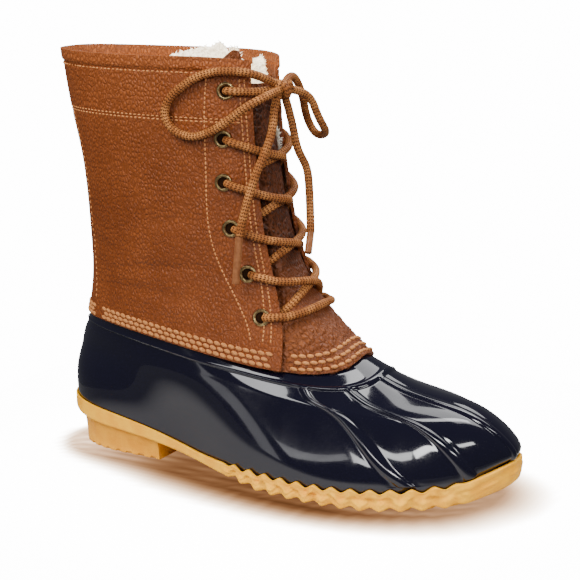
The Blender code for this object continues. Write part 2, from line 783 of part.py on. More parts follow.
for old in list(bpy.data.objects):
    bpy.data.objects.remove(old)
boot = collection("duck_boot")
cutters = collection("cutters")
gum = material("gum_rubber", (0.72, 0.45, 0.17), 0.6)
heel_gum = material("heel_rubber", (0.70, 0.43, 0.16), 0.6)
navy = material("navy_rubber", (0.006, 0.007, 0.02), 0.08)
tan = material("tan_leather", (0.25, 0.085, 0.03), 0.5)
vamp = material("vamp_leather", (0.23, 0.075, 0.028), 0.5)
fleece = material("footbed_fleece", (0.8, 0.76, 0.68), 0.9)
brass = material("old_brass", (0.30, 0.22, 0.12), 0.35, 1.0)
braid = material("braided_lace", (0.26, 0.10, 0.035), 0.7)
sheath = material("aglet_sheath", (0.22, 0.09, 0.035), 0.3)

add_outsole(gum, boot)
add_heel(heel_gum, boot)
add_insole(fleece, boot)
add_shell(navy, boot)
add_tongue(vamp, boot)
quarters = add_upper(tan, boot)
places = eyelet_places()
bore_eyelets(quarters, places, cutters)
for eyelet_name, eyelet_frame in places:
    add_eyelet(eyelet_name, eyelet_frame, brass, boot)
add_lace_rows(braid, boot, cutters)
add_bow(braid, sheath, boot)
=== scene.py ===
# Lace-up duck boot for the right foot, dressed: gum sole, glossy rubber lower, pebbled leather shaft with a
# fleece lining, brass eyelets and a round braided lace tied in a bow.
# Lengths are in millimetres from the back of the heel until a mesh is made; the frame is in metres.
from collections import namedtuple

import bpy
import numpy as np
from mathutils import Matrix, Vector


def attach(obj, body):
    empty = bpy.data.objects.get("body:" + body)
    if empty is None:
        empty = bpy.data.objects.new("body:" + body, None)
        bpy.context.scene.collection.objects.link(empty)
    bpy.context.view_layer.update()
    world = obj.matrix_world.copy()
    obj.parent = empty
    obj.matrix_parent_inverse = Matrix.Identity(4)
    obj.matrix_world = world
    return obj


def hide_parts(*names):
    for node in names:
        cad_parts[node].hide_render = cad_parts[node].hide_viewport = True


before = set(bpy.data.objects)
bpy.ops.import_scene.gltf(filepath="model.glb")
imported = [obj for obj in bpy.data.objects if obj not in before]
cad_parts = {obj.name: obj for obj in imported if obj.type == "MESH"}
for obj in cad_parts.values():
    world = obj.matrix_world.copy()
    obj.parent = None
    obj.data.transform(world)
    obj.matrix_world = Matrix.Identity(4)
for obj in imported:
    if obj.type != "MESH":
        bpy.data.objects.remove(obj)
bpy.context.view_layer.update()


# Outsole
# One moulding of natural gum rubber. Its strip turns up round the forefoot into a wall of rounded teeth,
# runs smooth over the toe as a bumper, and carries zigzag cross ribs below.
MM = 0.001
LENGTH = 278.0
TOE_SWING = 9.0
MIDDLE = (137.85, -3.0, 0.0)
GAP = 0.35
STEP = 1e-4
WELD = 1e-6


def rows_of(columns, *rows):
    """Rows of numbers with named columns."""
    row_kind = namedtuple("row_kind", columns)
    return [row_kind(*row) for row in rows]


SOLE = rows_of(
    "x lateral medial",
    (6, -17.0, 16.5),
    (30, -30.0, 29.0),
    (65, -32.5, 30.0),
    (100, -37.0, 27.5),
    (130, -44.5, 29.5),
    (160, -49.8, 36.5),
    (190, -51.0, 43.0),
    (216, -47.0, 45.0),
    (243, -36.5, 42.0),
    (263, -21.5, 34.5),
    (274, -5.0, 25.0),
)
PROFILE = rows_of(
    "x seat under",
    (0, 29.5, 20.0),
    (35, 25.4, 16.4),
    (72, 18.9, 12.4),
    (100, 13.0, 8.2),
    (128, 8.5, 3.4),
    (150, 7.2, 0.0),
    (182, 6.7, -1.2),
    (214, 7.4, 0.0),
    (240, 9.0, 1.8),
    (262, 11.0, 4.6),
    (278, 13.6, 8.6),
)
RAND = rows_of(
    "x height thickness",
    (0, 0.5, 0.9),
    (60, 0.5, 0.9),
    (104, 0.5, 1.6),
    (122, 1.9, 1.9),
    (150, 2.6, 2.4),
    (200, 3.2, 2.4),
    (240, 3.6, 2.4),
    (262, 5.6, 2.4),
    (278, 9.5, 2.4),
)
TEETH_FROM = 120.4
TEETH_TO = 263.5
TOOTH_PITCH = 10.6
TOOTH_RISE = 1.5
TOOTH_FLUTE = 2.3
TOOTH_SHARP = 0.55
FLUTE_TURN_FROM = 0.36
FLUTE_TURN_OVER = 0.28
COLUMNS_PER_TOOTH = 16
LUG_DEPTH = 1.6
LUG_ZIGZAG = 2.4
LUG_ZIGZAG_WIDTH = 22.0
SOLE_ROUND = 1.2
BACK_ROUND = 2.2
BACK_TO = 25.0
TOE_ROUND = 4.0
TOE_FROM = 250.0
GUM_LUMPS = 0.45


def spline(knots, values, at):
    """Natural cubic spline: the rows of values at the knots, read at each place in at."""
    knots = np.asarray(knots, float)
    values = np.asarray(values, float).reshape(len(knots), -1)
    gaps = np.diff(knots)
    slopes = np.diff(values, axis=0) / gaps[:, None]
    system = np.eye(len(knots))
    right = np.zeros_like(values)
    for i in range(1, len(knots) - 1):
        system[i, i - 1:i + 2] = gaps[i - 1], 2 * (gaps[i - 1] + gaps[i]), gaps[i]
        right[i] = 6 * (slopes[i] - slopes[i - 1])
    bend = np.linalg.solve(system, right)
    at = np.ravel(np.asarray(at, float))
    k = np.clip(np.searchsorted(knots, at) - 1, 0, len(gaps) - 1)
    h = gaps[k][:, None]
    after = (at - knots[k])[:, None]
    before = h - after
    curve = (bend[k] * before ** 3 + bend[k + 1] * after ** 3) / (6 * h)
    start = (values[k] / h - bend[k] * h / 6) * before
    end = (values[k + 1] / h - bend[k + 1] * h / 6) * after
    return curve + start + end


def smooth(x):
    """Eased step from 0 to 1."""
    x = np.clip(x, 0.0, 1.0)
    return x * x * (3 - 2 * x)


def column(table, name, at):
    """One column of a table as a smooth run over its first column, read at each place in at."""
    return spline([row[0] for row in table], [getattr(row, name) for row in table], at)[:, 0]


def unit(ways):
    """The same directions with a length of 1."""
    return ways / np.linalg.norm(ways, axis=-1, keepdims=True)


def seat(x):
    return column(PROFILE, "seat", x)


def under(x):
    return np.maximum(column(PROFILE, "under", x), 0.0)


def rand(name, x):
    return np.interp(x, [row.x for row in RAND], [getattr(row, name) for row in RAND])


def tooth_reach(x):
    """1 along the toothed part of the wall, eased to 0 at both its ends."""
    return smooth((x - TEETH_FROM) / TOOTH_PITCH) * smooth((TEETH_TO - x) / TOOTH_PITCH)


def sole_round(x):
    """Rounding under the sole's edge, larger round the heel and the toe."""
    back = smooth((BACK_TO - x) / BACK_TO)
    toe = smooth((x - TOE_FROM) / (LENGTH - TOE_FROM))
    return SOLE_ROUND + BACK_ROUND * back + TOE_ROUND * toe


chance = np.random.default_rng(7)


def uneven(shape, height, passes=1):
    """Random heights round 0, eased over their neighbours in as many passes."""
    lumps = chance.random(shape) - 0.5
    for _ in range(passes):
        for axis in (0, 1):
            lumps = (np.roll(lumps, 1, axis) + 2 * lumps + np.roll(lumps, -1, axis)) / 4
    return height * lumps / lumps.std()


def turn_at(x):
    """Turn of the sole edge's outer side at a distance x from the heel: 0 is the heel and 0.5 the toe."""
    return np.arccos(1 - 2 * np.asarray(x, float) / LENGTH) / (2 * np.pi)


def edge(u):
    """Sole edge seen from above."""
    turns = [2 * np.pi * turn_at(row.x) for row in SOLE]
    knots = np.array([0.0] + turns + [np.pi] + [2 * np.pi - turn for turn in turns[::-1]])
    lateral = [row.lateral for row in SOLE]
    medial = [row.medial for row in SOLE[::-1]]
    sides = np.array([0.0] + lateral + [TOE_SWING] + medial)
    wrap = 4
    knots = np.concatenate([knots[-wrap:] - 2 * np.pi, knots, knots[:wrap] + 2 * np.pi])
    sides = np.concatenate([sides[-wrap:], sides, sides[:wrap]])
    angle = (2 * np.pi * np.asarray(u, float)) % (2 * np.pi)
    return np.stack([LENGTH * (1 - np.cos(angle)) / 2, spline(knots, sides, angle)[:, 0]], -1)


def inset_edge(u, inset):
    """Sole edge moved inwards, square to itself."""
    u = np.asarray(u, float)
    along = unit(edge(u + STEP) - edge(u - STEP))
    inward = np.stack([-along[:, 1], along[:, 0]], -1)
    return edge(u) + inward * np.broadcast_to(inset, u.shape)[:, None]


def midline(u):
    """Middle of the sole beside each turn."""
    middle = edge(u)
    middle[:, 1] = (edge(u)[:, 1] + edge(1 - np.asarray(u, float))[:, 1]) / 2
    return middle


def level(plan, z):
    return np.concatenate([plan, np.broadcast_to(z, len(plan))[:, None]], 1)


def moulded(name, rows, repeats=(1.0, 1.0)):
    """Skin with a vertex at each point of the rows: a flat grid, moved to its place and welded to itself.
    The grid's map runs along the rows and from the first to the last, as often as repeats says."""
    rows = np.stack(rows)
    height, width = rows.shape[:2]
    bpy.ops.mesh.primitive_grid_add(x_subdivisions=width - 1, y_subdivisions=height - 1, size=1)
    piece = bpy.context.object
    piece.name = name
    piece.data.name = name
    piece.data.vertices.foreach_set("co", ((rows.reshape(-1, 3) - MIDDLE) * MM).ravel())
    layout = piece.data.uv_layers[0].data
    places = np.empty(2 * len(layout), np.float32)
    layout.foreach_get("uv", places)
    layout.foreach_set("uv", (places.reshape(-1, 2) * repeats).ravel())
    bpy.ops.object.mode_set(mode="EDIT")
    bpy.ops.mesh.select_all(action="SELECT")
    bpy.ops.mesh.remove_doubles(threshold=WELD)
    bpy.ops.object.mode_set(mode="OBJECT")
    bpy.ops.object.shade_smooth()
    return piece


def settle(piece, finish, slot, *nodes):
    """Gives a piece its finish, hangs it under the boot's root body and hides the parts of model.glb it
    takes over.
    """
    piece.data.materials.clear()
    piece.data.materials.append(finish)
    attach(piece, "root")
    if nodes:
        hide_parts(*nodes)


def copies(name, model, places):
    """One mesh of copies of a small model, set along its places with x as heading and z outwards."""
    points = np.array([v.co for v in model.data.vertices])
    faces = [tuple(p.vertices) for p in model.data.polygons]
    bpy.data.objects.remove(model)
    middle, heading, out = (np.concatenate(part) for part in zip(*places))
    side = np.cross(out, heading)
    middle = (middle - MIDDLE) * MM
    x, y, z = (points[None, :, k:k + 1] for k in range(3))
    spread = middle[:, None] + x * heading[:, None] + y * side[:, None] + z * out[:, None]
    count = len(points)
    mesh = bpy.data.meshes.new(name)
    mesh.from_pydata(spread.reshape(-1, 3).tolist(), [],
                     [[k * count + i for i in face] for k in range(len(middle)) for face in faces])
    mesh.shade_smooth()
    piece = bpy.data.objects.new(name, mesh)
    bpy.context.scene.collection.objects.link(piece)
    return piece


class Shade:
    """A shader socket. Python's operators add Math nodes to it, and node() adds any other node."""

    def __init__(self, tree, socket):
        self.tree = tree
        self.socket = socket

    def node(self, kind, inputs, output=0, **settings):
        made = self.tree.nodes.new(kind)
        for name, value in settings.items():
            setattr(made, name, value)
        for name, value in inputs.items():
            if isinstance(value, Shade):
                self.tree.links.new(value.socket, made.inputs[name])
            else:
                made.inputs[name].default_value = value
        return Shade(self.tree, made.outputs[output])

    def math(self, operation, first, second):
        return self.node("ShaderNodeMath", {0: first, 1: second}, operation=operation)

    def __add__(self, other):
        return self.math("ADD", self, other)

    def __sub__(self, other):
        return self.math("SUBTRACT", self, other)

    def __rsub__(self, other):
        return self.math("SUBTRACT", other, self)

    def __mul__(self, other):
        return self.math("MULTIPLY", self, other)

    def __mod__(self, other):
        return self.math("FLOORED_MODULO", self, other)

    def axis(self, name):
        """One coordinate of a place."""
        return self.node("ShaderNodeSeparateXYZ", {"Vector": self}, name)

    def noise(self, size, detail=2.0, roughness=0.5):
        """Soft noise with lumps of about this size in millimetres."""
        inputs = {"Vector": self, "Scale": 1 / (size * MM), "Detail": detail, "Roughness": roughness}
        return self.node("ShaderNodeTexNoise", inputs, "Fac")

    def stretched(self, x, y, z):
        return self.node("ShaderNodeMapping", {"Vector": self, "Scale": (x, y, z)})

    def between(self, low, high):
        """Eased step from 0 to 1 as the value goes from low to high."""
        return self.node("ShaderNodeMapRange", {"Value": self, "From Min": low, "From Max": high},
                         interpolation_type="SMOOTHSTEP")

    def mix(self, low, high):
        """Colour from low, where the value is 0, to high, where it is 1."""
        low, high = (c if isinstance(c, Shade) else (*c, 1.0) for c in (low, high))
        return self.node("ShaderNodeMix", {0: self, 6: low, 7: high}, 2, data_type="RGBA")

    def bump(self, depth, strength):
        """Normal of a surface that the value raises by up to a depth in millimetres."""
        inputs = {"Height": self, "Distance": depth * MM, "Strength": strength}
        return self.node("ShaderNodeBump", inputs, "Normal")


def new_finish(name, **constants):
    """A material with its shader, and the piece's own coordinates as a Shade."""
    finish = bpy.data.materials.new(name)
    finish.use_nodes = True
    shader = finish.node_tree.nodes["Principled BSDF"]
    for socket, value in constants.items():
        shader.inputs[socket.replace("_", " ")].default_value = value
    coordinates = finish.node_tree.nodes.new("ShaderNodeTexCoord")
    return finish, shader, Shade(finish.node_tree, coordinates.outputs["Object"])


def feed(shader, **links):
    for socket, value in links.items():
        value.tree.links.new(value.socket, shader.inputs[socket.replace("_", " ")])


def gum_finish(name, pale, deep):
    finish, shader, at = new_finish(name, IOR=1.5, Specular_IOR_Level=0.3)
    patches = at.noise(9.0)
    specks = at.noise(0.9)
    feed(shader,
         Base_Color=(patches * 0.7 + specks * 0.3).between(0.36, 0.64).mix(deep, pale),
         Roughness=patches * 0.25 + 0.40,
         Normal=(specks * 0.2 + at.noise(3.4)).bump(0.5, 0.6))
    return finish


def tread(x, y):
    """Height of the cross ribs' hollows, which zigzag from side to side."""
    zigzag = np.abs((y / LUG_ZIGZAG_WIDTH) % 2 - 1) - 0.5
    phase = 2 * np.pi * (x + LUG_ZIGZAG * zigzag - TEETH_FROM) / TOOTH_PITCH
    return LUG_DEPTH * smooth((np.cos(phase) + 0.1) / 0.5) * tooth_reach(x)


heel_part = LENGTH * (1 - np.cos(np.linspace(0, 1, 44)[1:-1] * 2 * np.pi * turn_at(TEETH_FROM))) / 2
teeth_part = np.arange(TEETH_FROM, TEETH_TO, TOOTH_PITCH / COLUMNS_PER_TOOTH)
toe_part = LENGTH - (LENGTH - teeth_part[-1]) * np.linspace(1, 0, 22)[1:-1] ** 2
out_turns = turn_at(np.concatenate([heel_part, teeth_part, toe_part]))
sole_turns = np.concatenate([[0.0], out_turns, [0.5], 1 - out_turns[::-1], [1.0]])
x = edge(sole_turns)[:, 0]
toothed = tooth_reach(x)
angle = 2 * np.pi * (x - TEETH_FROM) / TOOTH_PITCH
zigzag = 2 / np.pi * np.arcsin(np.cos(angle) * 0.97)
wave = ((1 - TOOTH_SHARP) * np.cos(angle) + TOOTH_SHARP * zigzag) * toothed
wall = rand("thickness", x)
crown = seat(x) + rand("height", x) + TOOTH_RISE * wave
lip = np.minimum(SOLE_ROUND, wall / 3)
hollow_low = TOOTH_FLUTE * (toothed + wave) / 2
hollow_high = TOOTH_FLUTE * (toothed - wave) / 2 * wall / RAND[-1].thickness
rounding = sole_round(x)
lumps = uneven((24, len(x)), GUM_LUMPS, 5) * smooth((x - TEETH_FROM) / TOOTH_PITCH)
lumps[:, -1] = lumps[:, 0]
foot_plan = inset_edge(sole_turns, rounding + hollow_low)
foot = under(x) + LUG_DEPTH * (toothed + wave) / 2
rows = []
middle_plan = (foot_plan + foot_plan[::-1]) / 2
for share in np.linspace(0, 0.94, 15):
    plan = middle_plan * (1 - share) + foot_plan * share
    rows.append(level(plan, under(plan[:, 0]) + tread(plan[:, 0], plan[:, 1])))
for bend in np.radians((0, 30, 60, 90)):
    inset = rounding * (1 - np.sin(bend)) + hollow_low
    rows.append(level(inset_edge(sole_turns, inset), foot + rounding * (1 - np.cos(bend))))
for k, share in enumerate(np.linspace(0, 1, 17)[1:]):
    rise = smooth((share - FLUTE_TURN_FROM) / FLUTE_TURN_OVER)
    inset = hollow_low * (1 - rise) + hollow_high * rise - lumps[k] * np.sin(np.pi * share)
    height = (foot + rounding) * (1 - share) + (crown - lip) * share
    rows.append(level(inset_edge(sole_turns, inset), height))
for bend in np.radians((30, 60, 90)):
    inset = hollow_high * (1 - 0.5 * np.sin(bend)) + lip * (1 - np.cos(bend))
    rows.append(level(inset_edge(sole_turns, inset), crown - lip * (1 - np.sin(bend))))
rows.append(level(inset_edge(sole_turns, wall), crown))
rows.append(level(inset_edge(sole_turns, wall), seat(x)))
rows.append(level(midline(sole_turns), seat(x)))
gum = gum_finish("gum_rubber", (0.97, 0.475, 0.020), (0.88, 0.375, 0.011))
settle(moulded("gum_outsole", rows), gum, "gum_sole", "outsole")


# Heel block
# A low solid lift of the same gum rubber, set in a little under the strip, with a straight breast in front
# and small notches along its foot.
HEEL_BREAST = 72.0
HEEL_INSET = 2.6
HEEL_BACK = 2.4
HEEL_TAPER = 1.8
HEEL_NOTCH = 1.2
HEEL_NOTCHES = 26
HEEL_ROUND = 0.5
HEEL_SHIFT = -1.0


def heel_plan(u, inset):
    points = edge(u)
    back = inset + HEEL_BACK
    points[:, 0] = back + points[:, 0] * (HEEL_BREAST - back) / HEEL_BREAST
    points[:, 1] *= 1 - inset / SOLE[2].medial
    return points


heel_out = turn_at(HEEL_BREAST * (1 - np.cos(np.pi / 2 * np.linspace(0, 1, 90)[1:])))
breast = np.linspace(0, 1, 24)[1:-1]
heel_side = np.concatenate([[0.0], heel_out])


def heel_ring(inset):
    """Ring round the heel block seen from above, its breast straight across."""
    lateral = heel_plan(heel_side, inset)
    medial = heel_plan(1 - heel_side[::-1], inset)
    across = lateral[-1] * (1 - breast[:, None]) + medial[0] * breast[:, None]
    return np.concatenate([lateral, across, medial])


ring_count = 2 * len(heel_side) + len(breast)
notch = HEEL_NOTCH * (np.cos(2 * np.pi * HEEL_NOTCHES * np.linspace(0, 1, ring_count)) > 0.1)
tip = HEEL_INSET + HEEL_TAPER
above_notch = HEEL_NOTCH + 2 * HEEL_ROUND
heel_middle = np.full((ring_count, 2), (HEEL_BREAST / 2, HEEL_SHIFT))
rows = [
    level(heel_middle, 0.0),
    level(heel_ring(tip + HEEL_NOTCH), 0.0),
    level(heel_ring(tip + HEEL_ROUND), notch),
    level(heel_ring(tip), notch + HEEL_ROUND),
    level(heel_ring(tip), above_notch),
]
for share in np.linspace(0, 1, 8)[1:]:
    plan = heel_ring(tip - HEEL_TAPER * share ** 1.5)
    rows.append(level(plan, above_notch * (1 - share) + (under(plan[:, 0]) - GAP) * share))
rows.append(level(heel_middle, under(HEEL_BREAST / 2) - GAP))
heel = moulded("gum_heel_block", rows)
bpy.ops.object.shade_smooth_by_angle(angle=0.7)
heel_gum = gum_finish("heel_rubber", (0.85, 0.37, 0.018), (0.74, 0.29, 0.009))
settle(heel, heel_gum, "gum_heel", "heel")


# Rubber lower
# A dipped and moulded overshoe of glossy navy rubber. A thicker band with a bead runs round its top, four
# rounded ribs run over the toe, and its flange goes up inside the leather.
LEATHER = 2.0
TONGUE = 1.8
RUBBER_WALL = 2.6
FLANGE_WALL = 1.6

RING = "at back_x front_x back_z front_z dip lateral medial back_round front_round egg swing"
LOWER = rows_of(
    RING,
    (0.48, 3.0, 255.0, 58.0, 48.5, 12.0, -40.3, 34.5, 0.8, 0.70, 0.105, 6.5),
    (0.77, 6.5, 217.0, 70.0, 58.0, 14.0, -37.7, 34.5, 0.8, 0.65, 0.10, 4.0),
)
SHAFT = rows_of(
    RING,
    (0.00, 10.5, 191.5, 79.5, 74.0, 18.0, -37.5, 34.5, 0.8, 0.60, 0.06, 3.0),
    (0.17, 14.5, 161.5, 104.0, 102.0, 8.0, -34.5, 32.5, 0.8, 0.62, 0.04, 0.0),
    (0.34, 14.5, 147.0, 129.0, 128.0, 3.0, -34.0, 32.5, 0.8, 0.62, 0.02, -2.0),
    (0.62, 10.5, 138.0, 175.0, 175.0, 0.0, -35.0, 33.5, 0.8, 0.65, 0.00, -4.0),
    (0.81, 3.5, 134.5, 205.0, 203.0, -1.0, -36.0, 34.5, 0.8, 0.65, 0.00, -5.0),
    (1.00, -1.5, 132.0, 235.0, 231.0, -5.0, -36.5, 35.5, 0.8, 0.65, 0.00, -5.0),
)
SWELL = rows_of(
    "turn inset",
    (0.00, 1.0),
    (0.10, 1.2),
    (0.18, 1.0),
    (0.24, 2.2),
    (0.30, 4.5),
    (0.36, 4.6),
    (0.42, 3.6),
    (0.46, 1.8),
    (0.50, 1.0),
)
SWELL_AT = 0.2
SWELL_RISE = 15.5
BAND_FROM = 0.885
BAND_RISE = 0.8
BAND_STEP = 0.014
BEAD_RISE = 0.5
BEAD_HALF = 0.010
RIB_TURNS = (0.372, 0.428, 0.488, 0.560)
RIB_RISE = 1.2
RIB_HALF = 0.0048
RIB_GROOVE = 0.1
RIB_SPREAD = 0.25
FLANGE_TOP = 0.085


def ring(row, u):
    """One level section of the boot's form."""
    angle = 2 * np.pi * np.asarray(u, float)
    forward = (1 - np.cos(angle)) / 2
    sideways = np.abs(np.sin(angle))
    half = np.where(np.sin(angle) >= 0, row.lateral, row.medial)
    roundness = row.back_round + (row.front_round - row.back_round) * forward
    x = row.back_x + (row.front_x - row.back_x) * forward
    y = half * sideways ** roundness * (1 + 2 * row.egg * (2 * forward - 1)) + row.swing * forward ** 3
    z = row.back_z + (row.front_z - row.back_z) * forward - row.dip * forward ** 2 * sideways
    return np.stack([x, y, z], -1)


def through(knots, rings, at):
    """Points of the surface that passes smoothly through the rings."""
    weights = spline(knots, np.eye(len(knots)), at)
    return np.einsum("nk,knd->nd", weights, np.stack(rings))


def shaft(u, v):
    """Outer face of the leather."""
    return through([row.at for row in SHAFT], [ring(row, u) for row in SHAFT], v)


def lift_off(surface, u, v, lift):
    """Points of a surface, moved outwards along its normal."""
    u, v = np.broadcast_arrays(np.asarray(u, float), np.asarray(v, float))
    u, v = u.ravel(), v.ravel()
    across = surface(u + STEP, v) - surface(u - STEP, v)
    up = surface(u, v + STEP) - surface(u, v - STEP)
    return surface(u, v) + unit(np.cross(across, up)) * np.broadcast_to(lift, u.shape)[:, None]


def tuck(u):
    """Depth of the rubber below the leather's face: deeper in front, where the tongue lies between."""
    tongue_full = 0.20
    tongue_past = 0.25
    away = np.abs(np.asarray(u, float) % 1.0 - 0.5)
    in_front = 1 - smooth((away - tongue_full) / (tongue_past - tongue_full))
    return LEATHER + GAP + (TONGUE + 3 * GAP) * in_front


def swell_inset(u):
    side = 0.5 - np.abs(np.asarray(u, float) % 1.0 - 0.5)
    return column(SWELL, "inset", side)


def rubber(u, t):
    """Outer face of the rubber lower, from the top of the sole's wall to the leather's edge."""
    x = edge(u)[:, 0]
    foot = inset_edge(u, rand("thickness", x) + GAP)
    base = level(foot, seat(x) + rand("height", x) + TOOTH_RISE * tooth_reach(x) + GAP)
    swell = level(inset_edge(u, swell_inset(u)), seat(x) + SWELL_RISE)
    topline = lift_off(shaft, u, 0.0, -tuck(u))
    knots = [0.0, SWELL_AT] + [row.at for row in LOWER] + [1.0]
    return through(knots, [base, swell] + [ring(row, u) for row in LOWER] + [topline], t)


def fan(u, t):
    """Turns of the columns at height t: over the toe they fan out between sole and band, as the ribs do."""
    full = 0.14
    past = 0.26
    reach = 1 - smooth((np.abs(u - 0.5) - full) / (past - full))
    return u + RIB_SPREAD * (u - 0.5) * np.sin(np.pi * t) * reach


def rubber_relief(u, t):
    """Rise of band, bead and ribs."""
    ends = smooth(t / 0.02) * smooth((BAND_FROM + 0.01 - t) / 0.03)
    half = RIB_HALF * (1 + 0.5 * np.exp(-t / 0.15))
    away = np.min([np.abs(u - turn) for turn in RIB_TURNS], axis=0) / half
    ribs = np.clip(1 - away ** 2, 0.0, 1.0) ** 0.6 - RIB_GROOVE * np.exp(-((away - 1.4) / 0.3) ** 2)
    band = BAND_RISE * smooth((t - BAND_FROM + BAND_STEP) / BAND_STEP) * smooth((1.01 - t) / 0.02)
    bead = BEAD_RISE * np.exp(-((t - BAND_FROM - BEAD_HALF) / BEAD_HALF) ** 2)
    return RIB_RISE * ribs * ends + band + bead


across_rib = np.linspace(-1.7, 1.7, 19)
rib_columns = np.concatenate([turn + RIB_HALF * across_rib for turn in RIB_TURNS])
plain = np.linspace(0, 1, 300)
clear = np.min(np.abs(plain[:, None] - rib_columns), axis=1) > RIB_HALF / 3
u = np.sort(np.concatenate([plain[clear], rib_columns]))
x = edge(u)[:, 0]
rows = [level(inset_edge(u, rand("thickness", x) + GAP), seat(x) + GAP)]
heights = (np.linspace(0, 0.10, 12), np.linspace(0.115, 0.85, 54), np.linspace(0.858, 0.925, 20),
           np.linspace(0.935, 1.0, 6))
for t in np.concatenate(heights):
    rows.append(lift_off(rubber, fan(u, t), t, rubber_relief(u, t)))
for v in (FLANGE_TOP / 2, FLANGE_TOP):
    rows.append(lift_off(shaft, u, v, -tuck(u)))
for v in (FLANGE_TOP, FLANGE_TOP / 2):
    rows.append(lift_off(shaft, u, v, -tuck(u) - FLANGE_WALL))
for t in (0.96, 0.84, 0.70, 0.55, 0.40, 0.27, 0.15):
    rows.append(lift_off(rubber, fan(u, t), t, -RUBBER_WALL))
rows.append(level(inset_edge(u, rand("thickness", x) + GAP + RUBBER_WALL), seat(x) + GAP))
rows.append(rows[0])
shell = moulded("rubber_lower", rows)

navy, shader, at = new_finish("navy_rubber", Base_Color=(0.0028, 0.0026, 0.0085, 1.0), IOR=1.52,
                              Coat_Weight=0.6, Coat_Roughness=0.02, Coat_IOR=1.5)
feed(shader,
     Roughness=at.noise(14.0).between(0.3, 0.8) * 0.06 + 0.07,
     Normal=at.noise(6.0, 1.0).bump(0.05, 0.3))
settle(shell, navy, "rubber_lower", "shell")


# Footbed and linings
# Cream fleece: a footbed on the sole, a lining inside the shaft up to its leather facing, and a backing on
# the tongue that stands above the tongue's own edge.
INSOLE = 4.0
FLEECE = 3.6
LINING_FROM = 0.06
LINING_TO = 0.90
LINING_RISE = 0.128
LINING_RISE_FROM = 0.83
LINING_RISE_TO = 0.66
BACKING_FROM = 0.20
BACKING_TO = 1.035
LINING_SINK = 1.8
LINING_PILE = 0.35
FLANGE_CLEAR = 2.4
FLANGE_PAST = 0.03
WING_DROP = 0.06
TONGUE_PRESS = 3.8
FRAY = 0.0035
# Heights between which the fleece's painted glow comes in.
PAINTED_GLOW_HEIGHTS = (0.186, 0.226)
THROAT_FLEECE = (0.63, 0.745)
THROAT_FLEECE_PEEK = 0.011
TUFT = 2.6
TUFT_ROOT = 0.5
TUFT_SPREAD = 0.75
LINING_TUFT_ROWS = 9
BACKING_TUFT_ROWS = 8

THROAT = rows_of(
    "at lateral medial tongue",
    (0.00, 0.352, 0.648, 0.190),
    (0.05, 0.370, 0.630, 0.170),
    (0.12, 0.395, 0.605, 0.148),
    (0.22, 0.422, 0.578, 0.128),
    (0.40, 0.437, 0.561, 0.108),
    (0.60, 0.444, 0.553, 0.098),
    (0.80, 0.452, 0.547, 0.092),
    (1.04, 0.457, 0.543, 0.088),
)


def throat(name, v):
    return column(THROAT, name, v)


def add_wall(piece, thickness):
    """Thickens a sheet inwards and rounds its edges."""
    wall = piece.modifiers.new("wall", "SOLIDIFY")
    wall.thickness = thickness * MM
    wall.offset = -1.0
    wall.use_even_offset = True
    rounding = piece.modifiers.new("rounding", "BEVEL")
    rounding.width = thickness * 0.3 * MM
    rounding.segments = 2
    rounding.limit_method = "ANGLE"
    rounding.angle_limit = 1.0
    bpy.context.view_layer.objects.active = piece
    for modifier in ("wall", "rounding"):
        bpy.ops.object.modifier_apply(modifier=modifier)


def press(u, v):
    """How far the tongue is pressed in: fully under the quarters, not at all in the opening."""
    ease = 0.036
    into = np.maximum(throat("lateral", v) - u, u - throat("medial", v))
    return smooth((into + ease) / ease)


def slanted(v, u, drop):
    """Heights of a row across the tongue, whose top is lower by a drop on the inner side."""
    wing = WING_DROP * smooth((0.43 - u) / 0.07)
    return v * (1 - (drop * smooth((u - 0.44) / 0.035) + wing) * smooth((v - 0.7) / 0.3))


tuft_chance = np.random.default_rng(11)


def tufts_at(points, lean):
    """Places of tufts at points: they lean one way on the whole, and each a little its own way."""
    out = unit(lean + TUFT_SPREAD * tuft_chance.standard_normal(points.shape))
    return points, unit(np.cross(out, (0.8, 0.6, 0.0))), out


# The fleece glows near the top of the opening and not lower down: a painted glow, painted light that stands
# in for the light falling on it.
fleece, shader, at = new_finish("cream_fleece", IOR=1.4, Sheen_Weight=0.4, Sheen_Roughness=0.6,
                                Emission_Strength=2.6)
curls = at.noise(1.6, 4.0, 0.7)
painted_glow_near_top = at.axis("Z").between(*PAINTED_GLOW_HEIGHTS)
painted_glow_colour = curls.between(0.34, 0.64).mix((0.28, 0.20, 0.10), (1.0, 0.82, 0.54))
feed(shader,
     Base_Color=curls.between(0.32, 0.62).mix((0.70, 0.60, 0.44), (0.96, 0.90, 0.78)),
     Emission_Color=painted_glow_near_top.mix((0.0, 0.0, 0.0), painted_glow_colour),
     Roughness=curls * 0.1 + 0.85,
     Normal=curls.bump(1.0, 0.9))

u = np.linspace(0, 1, 161)
x = edge(u)[:, 0]
bed_plan = inset_edge(u, rand("thickness", x) + RUBBER_WALL + 2 * GAP)
shares = np.linspace(0, 1, 26)
pile = uneven((len(shares), len(u)), LINING_PILE)
pile[:, -1] = pile[:, 0]
rows = [level(bed_plan, seat(x) + GAP)]
for k, share in enumerate(shares[::-1]):
    plan = midline(u) * (1 - share) + bed_plan * share
    rows.append(level(plan, seat(plan[:, 0]) + GAP + INSOLE - 0.6 + pile[k] * min(1.0, 4 * share)))
settle(moulded("fleece_footbed", rows), fleece, "footbed", "insole")

